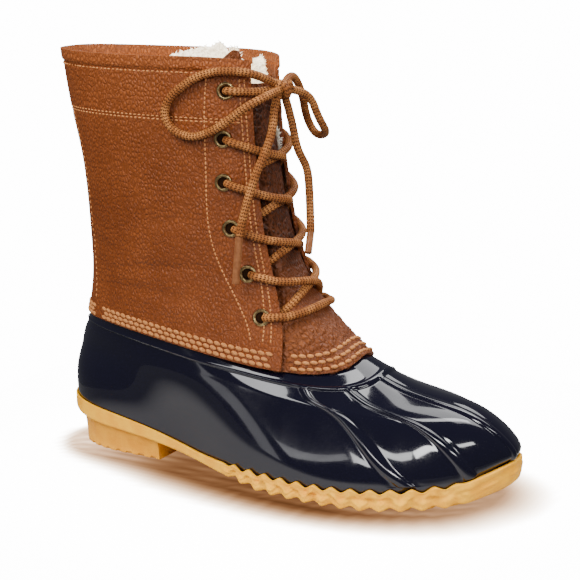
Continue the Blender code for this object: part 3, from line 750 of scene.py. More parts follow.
heights = np.linspace(LINING_FROM, LINING_TO, 90)
pile = uneven((len(heights), 190), LINING_PILE)
lining_fray = uneven((1, 190), FRAY, 3)[0]
rows = []
for k, v in enumerate(heights):
    half = 0.5 - throat("tongue", v)[0] - 0.012
    u = np.linspace(-half, half, 190)
    share = (v - LINING_FROM) / (LINING_TO - LINING_FROM)
    climb = np.clip((LINING_RISE_FROM - 1 - u) / 0.16, 0.0, 1.0) ** 0.5
    rise = (LINING_RISE * climb * smooth((u + 1 - LINING_RISE_TO) / 0.05) + lining_fray) * share ** 3
    depth = LEATHER + GAP + (FLANGE_CLEAR if v < FLANGE_TOP + FLANGE_PAST else 0.0)
    rows.append(lift_off(shaft, u, v + rise, -depth - LINING_SINK + np.minimum(pile[k], 1.4)))
rim_rows = rows[-LINING_TUFT_ROWS:]
inwards = unit(np.concatenate([row.mean(axis=0) - row for row in rim_rows])) / 2
tufts = [tufts_at(np.concatenate(rim_rows), inwards + (0.0, 0.0, 0.6))]
lining = moulded("fleece_lining", rows)
add_wall(lining, FLEECE - LINING_SINK)
settle(lining, fleece, "footbed")

heights = np.linspace(BACKING_FROM, BACKING_TO, 80)
pile = uneven((len(heights), 46), 0.3)
backing_fray = uneven((1, 46), FRAY, 3)[0]
rows = []
for k, v in enumerate(heights):
    u = 0.5 + (throat("tongue", v)[0] - 0.004) * np.linspace(-1, 1, 46)
    depth = LEATHER + 2 * GAP + TONGUE + TONGUE_PRESS * press(u, np.full(46, v)) + 0.7
    top = slanted(v, u, 0.045) + backing_fray * smooth((v - 0.8) / 0.2)
    rows.append(lift_off(shaft, u, top, -depth + np.minimum(pile[k], 0.5)))
tufts.append(tufts_at(np.concatenate(rows[-BACKING_TUFT_ROWS:]), (0.0, 0.0, 0.8)))
backing = moulded("fleece_tongue_backing", rows)
add_wall(backing, FLEECE)
settle(backing, fleece, "footbed")

heights = np.linspace(*THROAT_FLEECE, 30)
pile = uneven((len(heights), 10), 0.2)
rows = []
for k, v in enumerate(heights):
    start = throat("medial", v)[0] - THROAT_FLEECE_PEEK * np.sin(np.pi * k / (len(heights) - 1))
    u = np.linspace(start, throat("medial", v)[0] + 0.02, 10)
    rows.append(lift_off(shaft, u, v, -LEATHER - GAP - 0.6 + np.minimum(pile[k], 0.4)))
tufts.append(tufts_at(np.concatenate([row[:3] for row in rows]), (0.3, -0.8, 0.0)))
throat_fleece = moulded("fleece_throat_edge", rows)
add_wall(throat_fleece, 1.6)
settle(throat_fleece, fleece, "footbed")

bpy.ops.mesh.primitive_cone_add(vertices=5, radius1=TUFT_ROOT * MM, radius2=0.1 * TUFT_ROOT * MM,
                                depth=TUFT * MM, location=(0, 0, 0.4 * TUFT * MM))
bpy.ops.object.transform_apply(location=True)
settle(copies("fleece_tufts", bpy.context.object, tufts), fleece, "footbed")


# Tongue and vamp panel
# One piece of softer tan leather behind the lacing. Its lower part is the vamp, with a drawn, wrinkled
# grain; the lace and the quarters press its sides in.
TONGUE_TOP = 1.03
TONGUE_WING = 0.06
VAMP_WRINKLE = 0.5
CREASE_SHARE = 0.72
# Painted shade in the throat: a share of the dark tan.
PAINTED_SHADE_SHARE = 0.28
# Painted light towards the top of the shaft: shares of the tan.
PAINTED_LIGHT_SHARES = (1.48, 1.60, 1.85)
PAINTED_LIGHT_STEP = 0.006


def leather_finish(name, tan, dark, cell, drawn, relief, painted_light_from=2.0, painted_light_rise=0.0, painted_shade_span=(2.0, 3.0)):
    """Pebbled leather: rounded cells between fine creases, in patches of lighter and darker tan. From a
    height in its map upwards it is painted paler, as painted light, and between two others it goes over to a
    darker brown, as painted shade."""
    finish, shader, at = new_finish(name, IOR=1.5, Specular_IOR_Level=0.42)
    drawn_at = at.stretched(*drawn)
    place = drawn_at.node("ShaderNodeVectorMath", {0: drawn_at, 1: at.noise(3.0) * (0.8 * MM)})
    inputs = {"Vector": place, "Scale": 1 / (cell * MM), "Randomness": 0.8}
    cells = place.node("ShaderNodeTexVoronoi", inputs, "Distance", feature="DISTANCE_TO_EDGE")
    pebbles = cells.between(-0.08, 0.5)
    patches = at.noise(26.0, 3.0).between(0.32, 0.70)
    fine = at.noise(0.7, 3.0)
    deep = tuple(CREASE_SHARE * c for c in dark)
    painted_shade_colour = tuple(PAINTED_SHADE_SHARE * c for c in dark)
    painted_light_tone = tuple(share * c for share, c in zip(PAINTED_LIGHT_SHARES, tan))
    height = at.node("ShaderNodeUVMap", {}, uv_map="UVMap").axis("Y")
    # Paler from a height of the map upwards, and a little paler from its middle up: painted light from
    # above.
    painted_light_top = height.between(painted_light_from - PAINTED_LIGHT_STEP, painted_light_from + PAINTED_LIGHT_STEP)
    painted_light_mask = painted_light_top * 0.65 + height.between(0.5, 0.75) * painted_light_rise
    # Darker brown between two heights, fading out again near the top of the map: painted shade in the
    # throat.
    throat_painted_shade = height.between(*painted_shade_span) * (1 - height.between(0.88, 0.96))
    ground = throat_painted_shade.mix(painted_light_mask.mix(patches.mix(dark, tan), painted_light_tone), painted_shade_colour)
    feed(shader,
         Base_Color=(pebbles * 0.5 + fine * 0.5).between(0.12, 0.62).mix(deep, ground),
         Roughness=0.50 - pebbles * 0.14 + patches * 0.06,
         Normal=(pebbles + fine * 0.2 + at.noise(5.0) * 1.2).bump(relief, 0.8))
    return finish


def tongue_face(u, v):
    """Outer face of tongue and vamp: pressed in at the sides, wrinkled across the vamp."""
    on_vamp = 1 - smooth((v - 0.10) / 0.10)
    folds = np.sin(190 * (u - 0.5) + 9 * np.sin(40 * v)) * np.sin(95 * v + 30 * (u - 0.5))
    pressed = TONGUE_PRESS * press(u, v) * smooth((v - 0.10) / 0.08)
    return lift_off(shaft, u, v, -LEATHER - 2 * GAP - pressed + VAMP_WRINKLE * folds * on_vamp)


rows = []
for v in np.concatenate([np.linspace(0, 0.2, 40), np.linspace(0.2, TONGUE_TOP, 90)[1:]]):
    half = throat("tongue", v)[0]
    u = np.linspace(0.5 - half - TONGUE_WING * smooth((v - 0.80) / 0.2), 0.5 + half, 110)
    rows.append(tongue_face(u, slanted(v, u, 0.105)))
tongue = moulded("leather_tongue", rows)
add_wall(tongue, TONGUE)
# The tongue is painted darker in the throat, between the quarters and under the lace: painted shade.
vamp_tan = leather_finish("vamp_leather", (0.225, 0.066, 0.018), (0.160, 0.043, 0.011), 2.6,
                          (0.65, 1.4, 0.7), 1.5, painted_shade_span=(0.24, 0.44))
settle(tongue, vamp_tan, "vamp_leather", "tongue")


# Quarters and shaft
# Pebbled tan leather in one wall from throat edge to throat edge, with a rolled hem, a cuff panel below it,
# a stay over the back seam and panels beside the throat. Wear has left soft creases at the ankle.
HEM_FROM = 0.955
HEM_RISE = 0.8
HEM_SINK = 0.25
PUCKER = 0.3
PUCKERS = 96
CUFF_FROM = 0.790
CUFF_RISE = 0.3
STAY_HALF = 0.098
STAY_RISE = 0.4
STAY_TO = 0.78

EYESTAY = rows_of(
    "at turn",
    (0.00, 0.308),
    (0.10, 0.330),
    (0.22, 0.334),
    (0.32, 0.326),
    (0.43, 0.322),
    (0.56, 0.328),
    (0.78, 0.342),
    (0.97, 0.357),
)
EYESTAY_RISE = 0.3

EYELETS = rows_of(
    "turn at",
    (0.397, 0.892),
    (0.380, 0.722),
    (0.369, 0.571),
    (0.370, 0.428),
    (0.381, 0.283),
    (0.371, 0.146),
)
EYELET_BARREL = 3.2

CREASES = rows_of(
    "turn at end_turn end_at width depth",
    (0.170, 0.235, 0.330, 0.300, 4.0, 0.7),
    (0.120, 0.150, 0.290, 0.175, 4.5, 0.6),
    (0.200, 0.420, 0.335, 0.455, 5.0, 0.5),
    (0.060, 0.330, 0.170, 0.290, 5.0, 0.5),
    (0.300, 0.080, 0.360, 0.150, 3.5, 0.6),
    (0.800, 0.250, 0.660, 0.300, 4.5, 0.7),
    (0.880, 0.160, 0.720, 0.190, 4.5, 0.6),
    (0.930, 0.400, 0.780, 0.350, 5.0, 0.5),
    (0.700, 0.470, 0.640, 0.560, 4.0, 0.4),
)
SHAFT_AROUND = 330.0
SHAFT_HEIGHT = 158.0


def eyestay(v):
    return column(EYESTAY, "turn", v)


def crease_relief(u, v):
    """Soft troughs with a low ridge on either side."""
    relief = np.zeros_like(u)
    place = np.stack([u % 1.0 * SHAFT_AROUND, v * SHAFT_HEIGHT], -1)
    for row in CREASES:
        start = np.array([row.turn * SHAFT_AROUND, row.at * SHAFT_HEIGHT])
        way = np.array([row.end_turn * SHAFT_AROUND, row.end_at * SHAFT_HEIGHT]) - start
        share = np.clip((place - start) @ way / (way @ way), 0.0, 1.0)
        away = np.linalg.norm(place - start - share[:, None] * way, axis=1) / row.width
        fade = np.sin(np.pi * share) ** 0.8
        relief += row.depth * fade * (away ** 2 - 1) * np.exp(-away ** 2)
    return relief


def leather_relief(u, v):
    """Rise of hem, cuff, back stay and throat panels, with the creases."""
    side = np.abs(u)
    hem = (HEM_RISE + HEM_SINK) * smooth((v - HEM_FROM) / 0.010)
    hem -= HEM_SINK * smooth((v - HEM_FROM + 0.02) / 0.016)
    cuff = CUFF_RISE * smooth((v - CUFF_FROM) / 0.008)
    stay = STAY_RISE * smooth((STAY_HALF - side) / 0.006) * smooth((STAY_TO - v) / 0.02)
    panel = EYESTAY_RISE * smooth((side - eyestay(v)) / 0.008)
    pucker = PUCKER * np.cos(2 * np.pi * PUCKERS * u) * np.exp(-((v - HEM_FROM + 0.009) / 0.007) ** 2)
    return hem + cuff + stay + panel + pucker + crease_relief(u, v)


def leather_face(u, v):
    return lift_off(shaft, u, v, leather_relief(u, v))


heights = np.concatenate([np.linspace(0, 0.79, 78), np.linspace(0.80, 0.84, 9), np.linspace(0.85, 0.925, 8),
                          np.linspace(0.93, 1.0, 18)])
rows = []
for v in heights:
    low, high = throat("medial", v)[0] - 1, throat("lateral", v)[0]
    u = np.linspace(low, high, 360)
    rows.append(leather_face(u, np.full(360, v)))
quarters = moulded("leather_quarters", rows)
add_wall(quarters, LEATHER)
# On the shaft the leather is painted paler from 0.905 of its map up, and a little from the middle up:
# painted light.
shaft_tan = leather_finish("shaft_leather", (0.228, 0.058, 0.012), (0.172, 0.042, 0.0083), 2.3,
                           (1.2, 1.2, 0.8), 0.72, 0.905, 0.35)
settle(quarters, shaft_tan, "shaft_leather", "upper")


# Stitching
# Thick waxed thread in a lighter tan: three rows along the bottom of quarters and vamp, two along each
# throat edge, single rows on throat panels and back stay, and rows along cuff and hem.
STITCH = 4.3
STITCH_PITCH = 4.4
STITCH_WIDTH = 2.4
STITCH_HEIGHT = 1.9
STITCH_SLANT = 0.22
FINE_STITCH = (1.9, 0.95, 0.8)
BOTTOM_ROWS = (0.011, 0.028, 0.045)
FINE_FROM = 0.075
SEAM_END = 0.012
STAY_SEAM_END = 0.006
VAMP_SEAM_END = 0.010
PANEL_INSET = 0.010
PANEL_PITCH = 2.5
THROAT_INSETS = (0.017, 0.028)
THROAT_PITCH = 2.4
CUFF_SEAMS = (-0.008, 0.003)
CUFF_START = 0.004
CUFF_END = 0.03
CUFF_PITCH = 2.9
HEM_INSET = 0.008
HEM_PITCH = 3.0
STAY_INSET = 0.008
STAY_PITCH = 3.2


def run_along(points):
    """Distance of each point from the first, along the points."""
    return np.concatenate([[0.0], np.cumsum(np.linalg.norm(np.diff(points, axis=0), axis=1))])


def seam(face, turns, heights, pitch, start=0.5):
    """Places along a seam: the middle of each stitch, its heading and the face's outward direction."""
    turns, heights = np.broadcast_arrays(np.asarray(turns, float), np.asarray(heights, float))
    run = run_along(face(turns, heights))
    count = int(run[-1] / pitch)
    at = np.arange(start, count) * run[-1] / count
    u, v = np.interp(at, run, turns), np.interp(at, run, heights)
    ahead = np.interp(at + 0.5, run, turns), np.interp(at + 0.5, run, heights)
    middle = face(u, v)
    across = face(u + 4 * STEP, v) - face(u - 4 * STEP, v)
    up = face(u, v + 4 * STEP) - face(u, v - 4 * STEP)
    return middle, unit(face(*ahead) - middle), unit(np.cross(across, up))


def one_stitch(length, width, height, slant=0.0):
    """A stitch as it lies on the leather: a drop of thread, thick in the middle and turned by its slant."""
    bpy.ops.mesh.primitive_uv_sphere_add(segments=8, ring_count=6, radius=0.5)
    bpy.ops.object.mode_set(mode="EDIT")
    bpy.ops.transform.rotate(value=np.pi / 2, orient_axis="Y", center_override=(0, 0, 0))
    bpy.ops.transform.resize(value=(length * MM, width * MM, height * MM))
    bpy.ops.transform.rotate(value=slant, orient_axis="Z", center_override=(0, 0, 0))
    bpy.ops.object.mode_set(mode="OBJECT")
    return bpy.context.object


def sides(turns):
    """The same run on the outer and the inner side."""
    return np.asarray(turns), -np.asarray(turns)


heavy = []
for row, start in zip(BOTTOM_ROWS, (0.5, 1.0, 0.5)):
    low, high = throat("lateral", row)[0], throat("medial", row)[0]
    for turns in sides(np.linspace(STAY_HALF + SEAM_END, low - SEAM_END, 60)):
        heavy.append(seam(leather_face, turns, row, STITCH_PITCH, start))
    stay_end = STAY_HALF - STAY_SEAM_END
    heavy.append(seam(leather_face, np.linspace(-stay_end, stay_end, 30), row, STITCH_PITCH, start))
    vamp_turns = np.linspace(low + VAMP_SEAM_END, high - VAMP_SEAM_END, 80)
    heavy.append(seam(tongue_face, vamp_turns, row, STITCH_PITCH, start))
thread, shader, at = new_finish("tan_thread", IOR=1.45, Roughness=0.62)
strands = at.noise(0.45)
feed(shader,
     Base_Color=strands.between(0.3, 0.7).mix((0.32, 0.115, 0.032), (0.58, 0.245, 0.082)),
     Normal=strands.bump(0.15, 0.7))
stitch = one_stitch(STITCH, STITCH_WIDTH, STITCH_HEIGHT, STITCH_SLANT)
settle(copies("bottom_stitches", stitch, heavy), thread, "shaft_leather")

fine = []
heights = np.linspace(FINE_FROM, HEM_FROM - 0.02, 120)
for turns in sides(eyestay(heights) + PANEL_INSET):
    fine.append(seam(leather_face, turns, heights, PANEL_PITCH))
for inset in THROAT_INSETS:
    for turns in sides(throat("lateral", heights) - inset):
        fine.append(seam(leather_face, turns, heights, THROAT_PITCH))
for rise in CUFF_SEAMS:
    height = CUFF_FROM + rise
    for turns in sides(np.linspace(CUFF_START, throat("lateral", height)[0] - CUFF_END, 120)):
        fine.append(seam(leather_face, turns, height, CUFF_PITCH))
low, high = throat("medial", HEM_FROM)[0] - 1, throat("lateral", HEM_FROM)[0]
hem_turns = np.linspace(low + SEAM_END, high - SEAM_END, 200)
fine.append(seam(leather_face, hem_turns, HEM_FROM - HEM_INSET, HEM_PITCH))
for turn in sides(STAY_HALF - STAY_INSET):
    fine.append(seam(leather_face, turn, np.linspace(FINE_FROM, STAY_TO, 60), STAY_PITCH))
pale_thread, shader, at = new_finish("pale_thread", IOR=1.45, Roughness=0.62)
feed(shader, Base_Color=at.noise(0.45).between(0.3, 0.7).mix((0.42, 0.155, 0.045), (0.66, 0.28, 0.10)))
settle(copies("fine_stitches", one_stitch(*FINE_STITCH), fine), pale_thread, "shaft_leather")


# Eyelets
# Rolled brass eyelets, darkened with age, set through the quarters. One is turned and copied to its twelve
# places, and a dark disc in each is painted shade that stands for the hollow behind it.
EYELET_RING = 3.95
EYELET_ROLL = 0.95
EYELET_FLAT = 0.8
EYELET_LIFT = 0.45
BARREL_LENGTH = 3.4
BARREL_SINK = 1.3
# Lift of each painted-shade disc in its eyelet.
SHADE_DISC_LIFT = 0.15


def joined(name, parts):
    bpy.ops.object.select_all(action="DESELECT")
    for part in parts:
        part.select_set(True)
    bpy.context.view_layer.objects.active = parts[0]
    bpy.ops.object.join()
    parts[0].name = name
    parts[0].data.name = name
    return parts[0]


bpy.ops.mesh.primitive_torus_add(major_segments=40, minor_segments=12, major_radius=EYELET_RING * MM,
                                 minor_radius=EYELET_ROLL * MM)
rim = bpy.context.object
bpy.ops.object.mode_set(mode="EDIT")
bpy.ops.transform.resize(value=(1, 1, EYELET_FLAT))
bpy.ops.transform.translate(value=(0, 0, EYELET_LIFT * MM))
bpy.ops.object.mode_set(mode="OBJECT")
bpy.ops.mesh.primitive_cylinder_add(vertices=40, radius=EYELET_BARREL * MM, depth=BARREL_LENGTH * MM,
                                    end_fill_type="NOTHING", location=(0, 0, -BARREL_SINK * MM))
bpy.ops.object.transform_apply(location=True)
model = joined("eyelet_model", [rim, bpy.context.object])
places = []
for row in EYELETS:
    for turn in (row.turn, -row.turn):
        spot = leather_face(np.array([turn]), np.array([row.at]))
        out = lift_off(shaft, turn, row.at, 1.0) - lift_off(shaft, turn, row.at, 0.0)
        places.append((spot, unit(np.cross([[0.0, 0.0, 1.0]], out)), out))
eyelets = copies("brass_eyelets", model, places)
brass, shader, at = new_finish("old_brass", Metallic=1.0)
tarnish = at.noise(2.2, 4.0, 0.6).between(0.35, 0.68)
feed(shader,
     Base_Color=tarnish.mix((0.50, 0.36, 0.16), (0.20, 0.13, 0.06)),
     Roughness=tarnish * 0.22 + 0.26,
     Normal=at.noise(0.8).bump(0.05, 0.4))
names = [f"eyelet_{side}_{k}" for side in ("lateral", "medial") for k in range(1, len(EYELETS) + 1)]
settle(eyelets, brass, "eyelet_brass", *names)

# Dark discs in the barrels: painted shade for the hollows behind the eyelets.
bpy.ops.mesh.primitive_circle_add(vertices=32, radius=EYELET_BARREL * MM, fill_type="NGON",
                                  location=(0, 0, SHADE_DISC_LIFT * MM))
bpy.ops.object.transform_apply(location=True)
eyelet_shade, shader, at = new_finish("eyelet_dark", Roughness=0.9, Specular_IOR_Level=0.1)
feed(shader, Base_Color=at.noise(1.5).mix((0.008, 0.003, 0.001), (0.020, 0.008, 0.003)))
settle(copies("eyelet_hollows", bpy.context.object, places), eyelet_shade, "eyelet_brass")


# Lace through the eyelets
# A round brown braid with pale flecks. It lies straight across the lowest pair of eyelets, then crosses
# from each eyelet over the quarter's edge and under the other quarter to the next one, up to the knot.
LACE = 4.6
LACE_SIDES = 14
LACE_SPACING = 1.1
BRAID_REPEAT = 1.8
PLAITS = 6
IN_EYELET = -4.5
EYELET_MOUTH = -1.0
OUT_OF_EYELET = 2.3
ON_LEATHER = LACE / 2 + 0.1
OFF_LEATHER = ON_LEATHER + 0.3
UNDER_LEATHER = -LEATHER - LACE / 2 - 0.3
UNDER_EYELET = UNDER_LEATHER - 0.8
GOING_UNDER = -2.6
BAR_LIFT = 1.2
OVER_LIFT = 3.4
UNDER_LIFT = -0.5

CORD = "turn at lift"
CordRow = namedtuple("CordRow", CORD)


def cord_places(rows):
    return np.concatenate([lift_off(shaft, row.turn, row.at, row.lift) for row in rows])


def smooth_run(points):
    """Evenly spaced points on a smooth curve through the points."""
    along = run_along(points)
    dense = spline(along, points, np.linspace(0, along[-1], 400))
    along = run_along(dense)
    even = np.linspace(0, along[-1], max(8, round(along[-1] / LACE_SPACING)))
    return np.stack([np.interp(even, along, dense[:, k]) for k in range(3)], -1)


def tube(name, points, diameter):
    """Round cord along a run of points, closed at its ends, with a map that goes round it and along it."""
    ahead = unit(np.gradient(points, axis=0))
    beside = np.cross(ahead[0], (0.0, 0.0, 1.0) if abs(ahead[0][2]) < 0.9 else (1.0, 0.0, 0.0))
    angles = np.linspace(0, 2 * np.pi, LACE_SIDES + 1)[:, None]
    rows = []
    for point, way in zip(points, ahead):
        beside = unit(beside - way * (beside @ way))
        spread = np.cos(angles) * beside + np.sin(angles) * np.cross(way, beside)
        rows.append(point + diameter / 2 * spread)
    first, last = np.repeat(points[:1], LACE_SIDES + 1, 0), np.repeat(points[-1:], LACE_SIDES + 1, 0)
    return moulded(name, [first, *rows, last], (1.0, run_along(points)[-1] / BRAID_REPEAT))


def to_edge(row):
    """Lace from an eyelet to its quarter's edge: shares of the way to the facing eyelet, and lifts."""
    edge_way = (throat("lateral", row.at)[0] - row.turn) / (1 - 2 * row.turn)
    ways = (0.02, 0.02, 0.06, 0.5 * edge_way + 0.05, edge_way)
    return ways, (IN_EYELET, EYELET_MOUTH, OUT_OF_EYELET, OFF_LEATHER, ON_LEATHER)


def cord_across(upper_row, lower_row, ways, lifts):
    """Lace on its way to the other side, from the height of one eyelet to that of another."""
    width = 1 - 2 * upper_row.turn
    drop = lower_row.at - upper_row.at
    steps = zip(ways, lifts)
    return [CordRow(upper_row.turn + way * width, upper_row.at + way * drop, lift) for way, lift in steps]


def strand(upper_row, lower_row, crossing_lift):
    """Lace out of an eyelet, over its quarter's edge, over the tongue and under the far quarter."""
    ways, lifts = to_edge(upper_row)
    far_edge = 1 - ways[-1]
    ways += (0.5, far_edge - 0.12, far_edge - 0.02)
    lifts += (crossing_lift, GOING_UNDER, UNDER_LEATHER)
    end = CordRow(1 - lower_row.turn, lower_row.at, UNDER_EYELET)
    return [*cord_across(upper_row, lower_row, ways, lifts), end]


def bar(row):
    """Lace straight across from eyelet to eyelet."""
    ways, lifts = to_edge(row)
    ways += (0.5, *(1 - way for way in ways[::-1]))
    return cord_across(row, row, ways, (*lifts, BAR_LIFT, *lifts[::-1]))


def mirrored(rows):
    return [CordRow(1 - row.turn, row.at, row.lift) for row in rows]


braid, shader, at = new_finish("braided_lace", IOR=1.45, Roughness=0.6, Specular_IOR_Level=0.3)
mapped = at.node("ShaderNodeUVMap", {}, uv_map="UVMap")
beside_ridge = (mapped.axis("X") * PLAITS) % 1.0 - 0.5
slope = beside_ridge.node("ShaderNodeMath", {0: beside_ridge}, operation="ABSOLUTE")
chevron = (mapped.axis("Y") + slope) % 1.0
plait = chevron.between(0.05, 0.35) * (1 - chevron.between(0.6, 0.9))
gap = (1 - plait) * slope.between(0.03, 0.14) * (1 - slope.between(0.36, 0.47))
tan = at.noise(7.0).between(0.35, 0.65).mix((0.27, 0.088, 0.021), (0.46, 0.178, 0.050))
feed(shader,
     Base_Color=gap.between(0.1, 0.7).mix(tan, (0.055, 0.015, 0.0035)),
     Normal=(plait + at.noise(0.3) * 0.2).bump(0.3, 0.8))

bottom, top = EYELETS[-1], EYELETS[0]
lace_bar = tube("lace_bottom_bar", smooth_run(cord_places(bar(bottom))), LACE)
settle(lace_bar, braid, "lace_braid", "lace_bar")
for number in range(2, len(EYELETS)):
    upper_row, lower_row = EYELETS[number - 1], EYELETS[number]
    pair = [
        tube("over", smooth_run(cord_places(strand(upper_row, lower_row, OVER_LIFT))), LACE),
        tube("under", smooth_run(cord_places(mirrored(strand(upper_row, lower_row, UNDER_LIFT)))), LACE),
    ]
    settle(joined(f"lace_crossing_{number}", pair), braid, "lace_braid", f"lace_cross_{number}")


# Bow
# The lace's ends, tied over the top pair of eyelets: a knot with a turn of lace round it, two loops, and two
# hanging ends with hard tips.
KNOT = CordRow(0.496, 0.900, 9.6)
KNOT_TURN = 4.1
KNOT_TURN_HALF = 2.3
KNOT_CORE_HALF = 5.0
KNOT_CORE_SWAY = 1.4
KNOT_CORE_SCALE = 1.3
KNOT_REACH = 3.0
LATERAL_LOOP = rows_of(
    CORD,
    (0.478, 0.942, 8.0),
    (0.440, 0.956, 6.5),
    (0.397, 0.958, 4.5),
    (0.355, 0.938, 3.4),
    (0.326, 0.901, 3.2),
    (0.304, 0.856, 3.2),
    (0.295, 0.812, 3.2),
    (0.299, 0.765, 3.2),
    (0.315, 0.735, 3.2),
    (0.340, 0.732, 3.4),
    (0.366, 0.754, 4.0),
    (0.391, 0.784, 5.2),
    (0.415, 0.819, 6.5),
    (0.440, 0.853, 9.5),
    (0.470, 0.886, 15.0),
)
MEDIAL_LOOP = rows_of(
    CORD,
    (0.514, 0.944, 8.5),
    (0.542, 0.922, 9.0),
    (0.565, 0.839, 13.5),
    (0.584, 0.750, 17.5),
    (0.582, 0.697, 20.5),
    (0.560, 0.692, 23.0),
    (0.542, 0.722, 23.0),
    (0.531, 0.782, 20.7),
    (0.525, 0.842, 18.6),
    (0.514, 0.884, 17.0),
)
LATERAL_END = rows_of(
    CORD,
    (0.484, 0.860, 7.8),
    (0.479, 0.815, 8.4),
    (0.471, 0.759, 8.8),
    (0.441, 0.638, 8.5),
    (0.418, 0.551, 8.7),
    (0.402, 0.480, 8.9),
    (0.388, 0.410, 9.0),
)
LATERAL_TIP = CordRow(0.362, 0.255, 8.6)
MEDIAL_END = rows_of(
    CORD,
    (0.508, 0.858, 7.6),
    (0.507, 0.800, 8.6),
    (0.508, 0.725, 9.6),
    (0.510, 0.655, 10.6),
    (0.519, 0.599, 12.0),
    (0.520, 0.531, 12.0),
    (0.515, 0.453, 11.0),
    (0.507, 0.381, 10.0),
)
MEDIAL_TIP = CordRow(0.498, 0.313, 9.0)
AGLET = 4.2

knot_spot = cord_places([KNOT])[0]


def knot_face(towards):
    """Where a cord that heads towards a point leaves the knot."""
    return knot_spot + unit(towards - knot_spot) * KNOT_REACH


knot_out = lift_off(shaft, KNOT.turn, KNOT.at, 1.0)[0] - lift_off(shaft, KNOT.turn, KNOT.at, 0.0)[0]
knot_side = unit(np.cross((0.0, 0.0, 1.0), knot_out))
knot_up = np.cross(knot_out, knot_side)
wrap_axis = 0.85 * knot_side + 0.53 * knot_up
wrap_round = np.cross(knot_out, wrap_axis)
bends = np.linspace(-0.3 * np.pi, 2.2 * np.pi, 44)[:, None]
along_wrap = np.linspace(-KNOT_TURN_HALF, KNOT_TURN_HALF, 44)[:, None]
about = np.cos(bends) * knot_out + np.sin(bends) * wrap_round
wrap = knot_spot + KNOT_TURN * about + along_wrap * wrap_axis
along_core = np.linspace(-KNOT_CORE_HALF, KNOT_CORE_HALF, 14)[:, None]
sway = KNOT_CORE_SWAY * np.sin(np.linspace(0, 2 * np.pi, 14))[:, None]
core = knot_spot + along_core * knot_side + sway * knot_up
parts = [tube("wrap", wrap, LACE), tube("core", core, LACE * KNOT_CORE_SCALE)]
for side in (1, -1):
    turn = top.turn if side == 1 else 1 - top.turn
    steps = ((0.0, IN_EYELET), (0.0, EYELET_MOUTH), (0.008, 2.7), (0.03, 3.1), (0.06, 3.4))
    rows = [CordRow(turn + side * way, top.at, lift) for way, lift in steps]
    run = np.concatenate([cord_places(rows), [knot_spot - side * 2.6 * knot_side - 1.5 * knot_out]])
    parts.append(tube("to_knot", smooth_run(run), LACE))
knot = joined("lace_bow_knot", parts)
settle(knot, braid, "lace_braid", "lace_knot", "lace_top")

for side, rows in (("lateral", LATERAL_LOOP), ("medial", MEDIAL_LOOP)):
    places = cord_places(rows)
    run = smooth_run(np.stack([knot_face(places[0]), *places[1:-1], knot_face(places[-1])]))
    loop = tube(f"lace_bow_loop_{side}", run, LACE)
    settle(loop, braid, "lace_braid", f"lace_loop_{side}")

sheath, shader, at = new_finish("lace_tip_sheath", IOR=1.5, Coat_Weight=0.3)
feed(shader,
     Base_Color=at.noise(3.0).between(0.3, 0.7).mix((0.17, 0.06, 0.020), (0.26, 0.098, 0.035)),
     Roughness=at.noise(1.2) * 0.2 + 0.25)
for side, rows, end in (("lateral", LATERAL_END, LATERAL_TIP), ("medial", MEDIAL_END, MEDIAL_TIP)):
    places = cord_places(rows)
    run = smooth_run(np.stack([knot_face(places[0]), *places[1:]]))
    cord = tube(f"lace_bow_end_{side}", run, LACE)
    settle(cord, braid, "lace_braid", f"lace_end_{side}")
    to_tip = cord_places([end])[0] - run[-1]
    far = np.linalg.norm(to_tip)
    lengths = np.array([-2.0, -1.8, 0.0, 0.5 * far, far - 0.8, far - 0.2, far])
    aglet = tube(f"lace_tip_{side}", run[-1] + lengths[:, None] * unit(to_tip), AGLET)
    settle(aglet, sheath, "lace_tip", f"aglet_{side}")


# Studio
# A white table with the boot's soft shadow painted on it, a large softbox above and behind, and soft fills
# round it.
# Strip lamps and a grey card give the glossy rubber its streaks; the rest of the room is dark.
TABLE = 0.24
TABLE_FADE = (0.14, 0.20)
TABLE_GLOW = 14.4
TABLE_GRAIN = 110
# Painted shadow of the boot on the table: where it reaches, how deep it goes and how each colour falls off.
SHADE_PLACES = (-0.14, -0.05, 0.05, 0.14)
SHADE_REACH = (8.0, 30.0, 27.0, 30.0)
SHADE_DEPTH = (0.42, 0.92, 1.0, 0.60)
SHADE_SHIFT = (-0.003, -0.007)
SHADE_FADE = (4.7, 5.7, 6.8)
ROOM_TONE = (0.10, 0.10, 0.11)
BACKDROP_TONE = (15.0, 15.0, 15.0)
SENSOR = 36.0
FOCAL_LENGTH = 96.8
CAMERA_SPOT = (0.4098, -0.7481, 0.2997)
CAMERA_AIM = (0.0032, 0.0070, 0.1025)

bpy.ops.mesh.primitive_grid_add(x_subdivisions=TABLE_GRAIN, y_subdivisions=TABLE_GRAIN, size=2 * TABLE)
table = bpy.context.object
table.name = "studio_table"
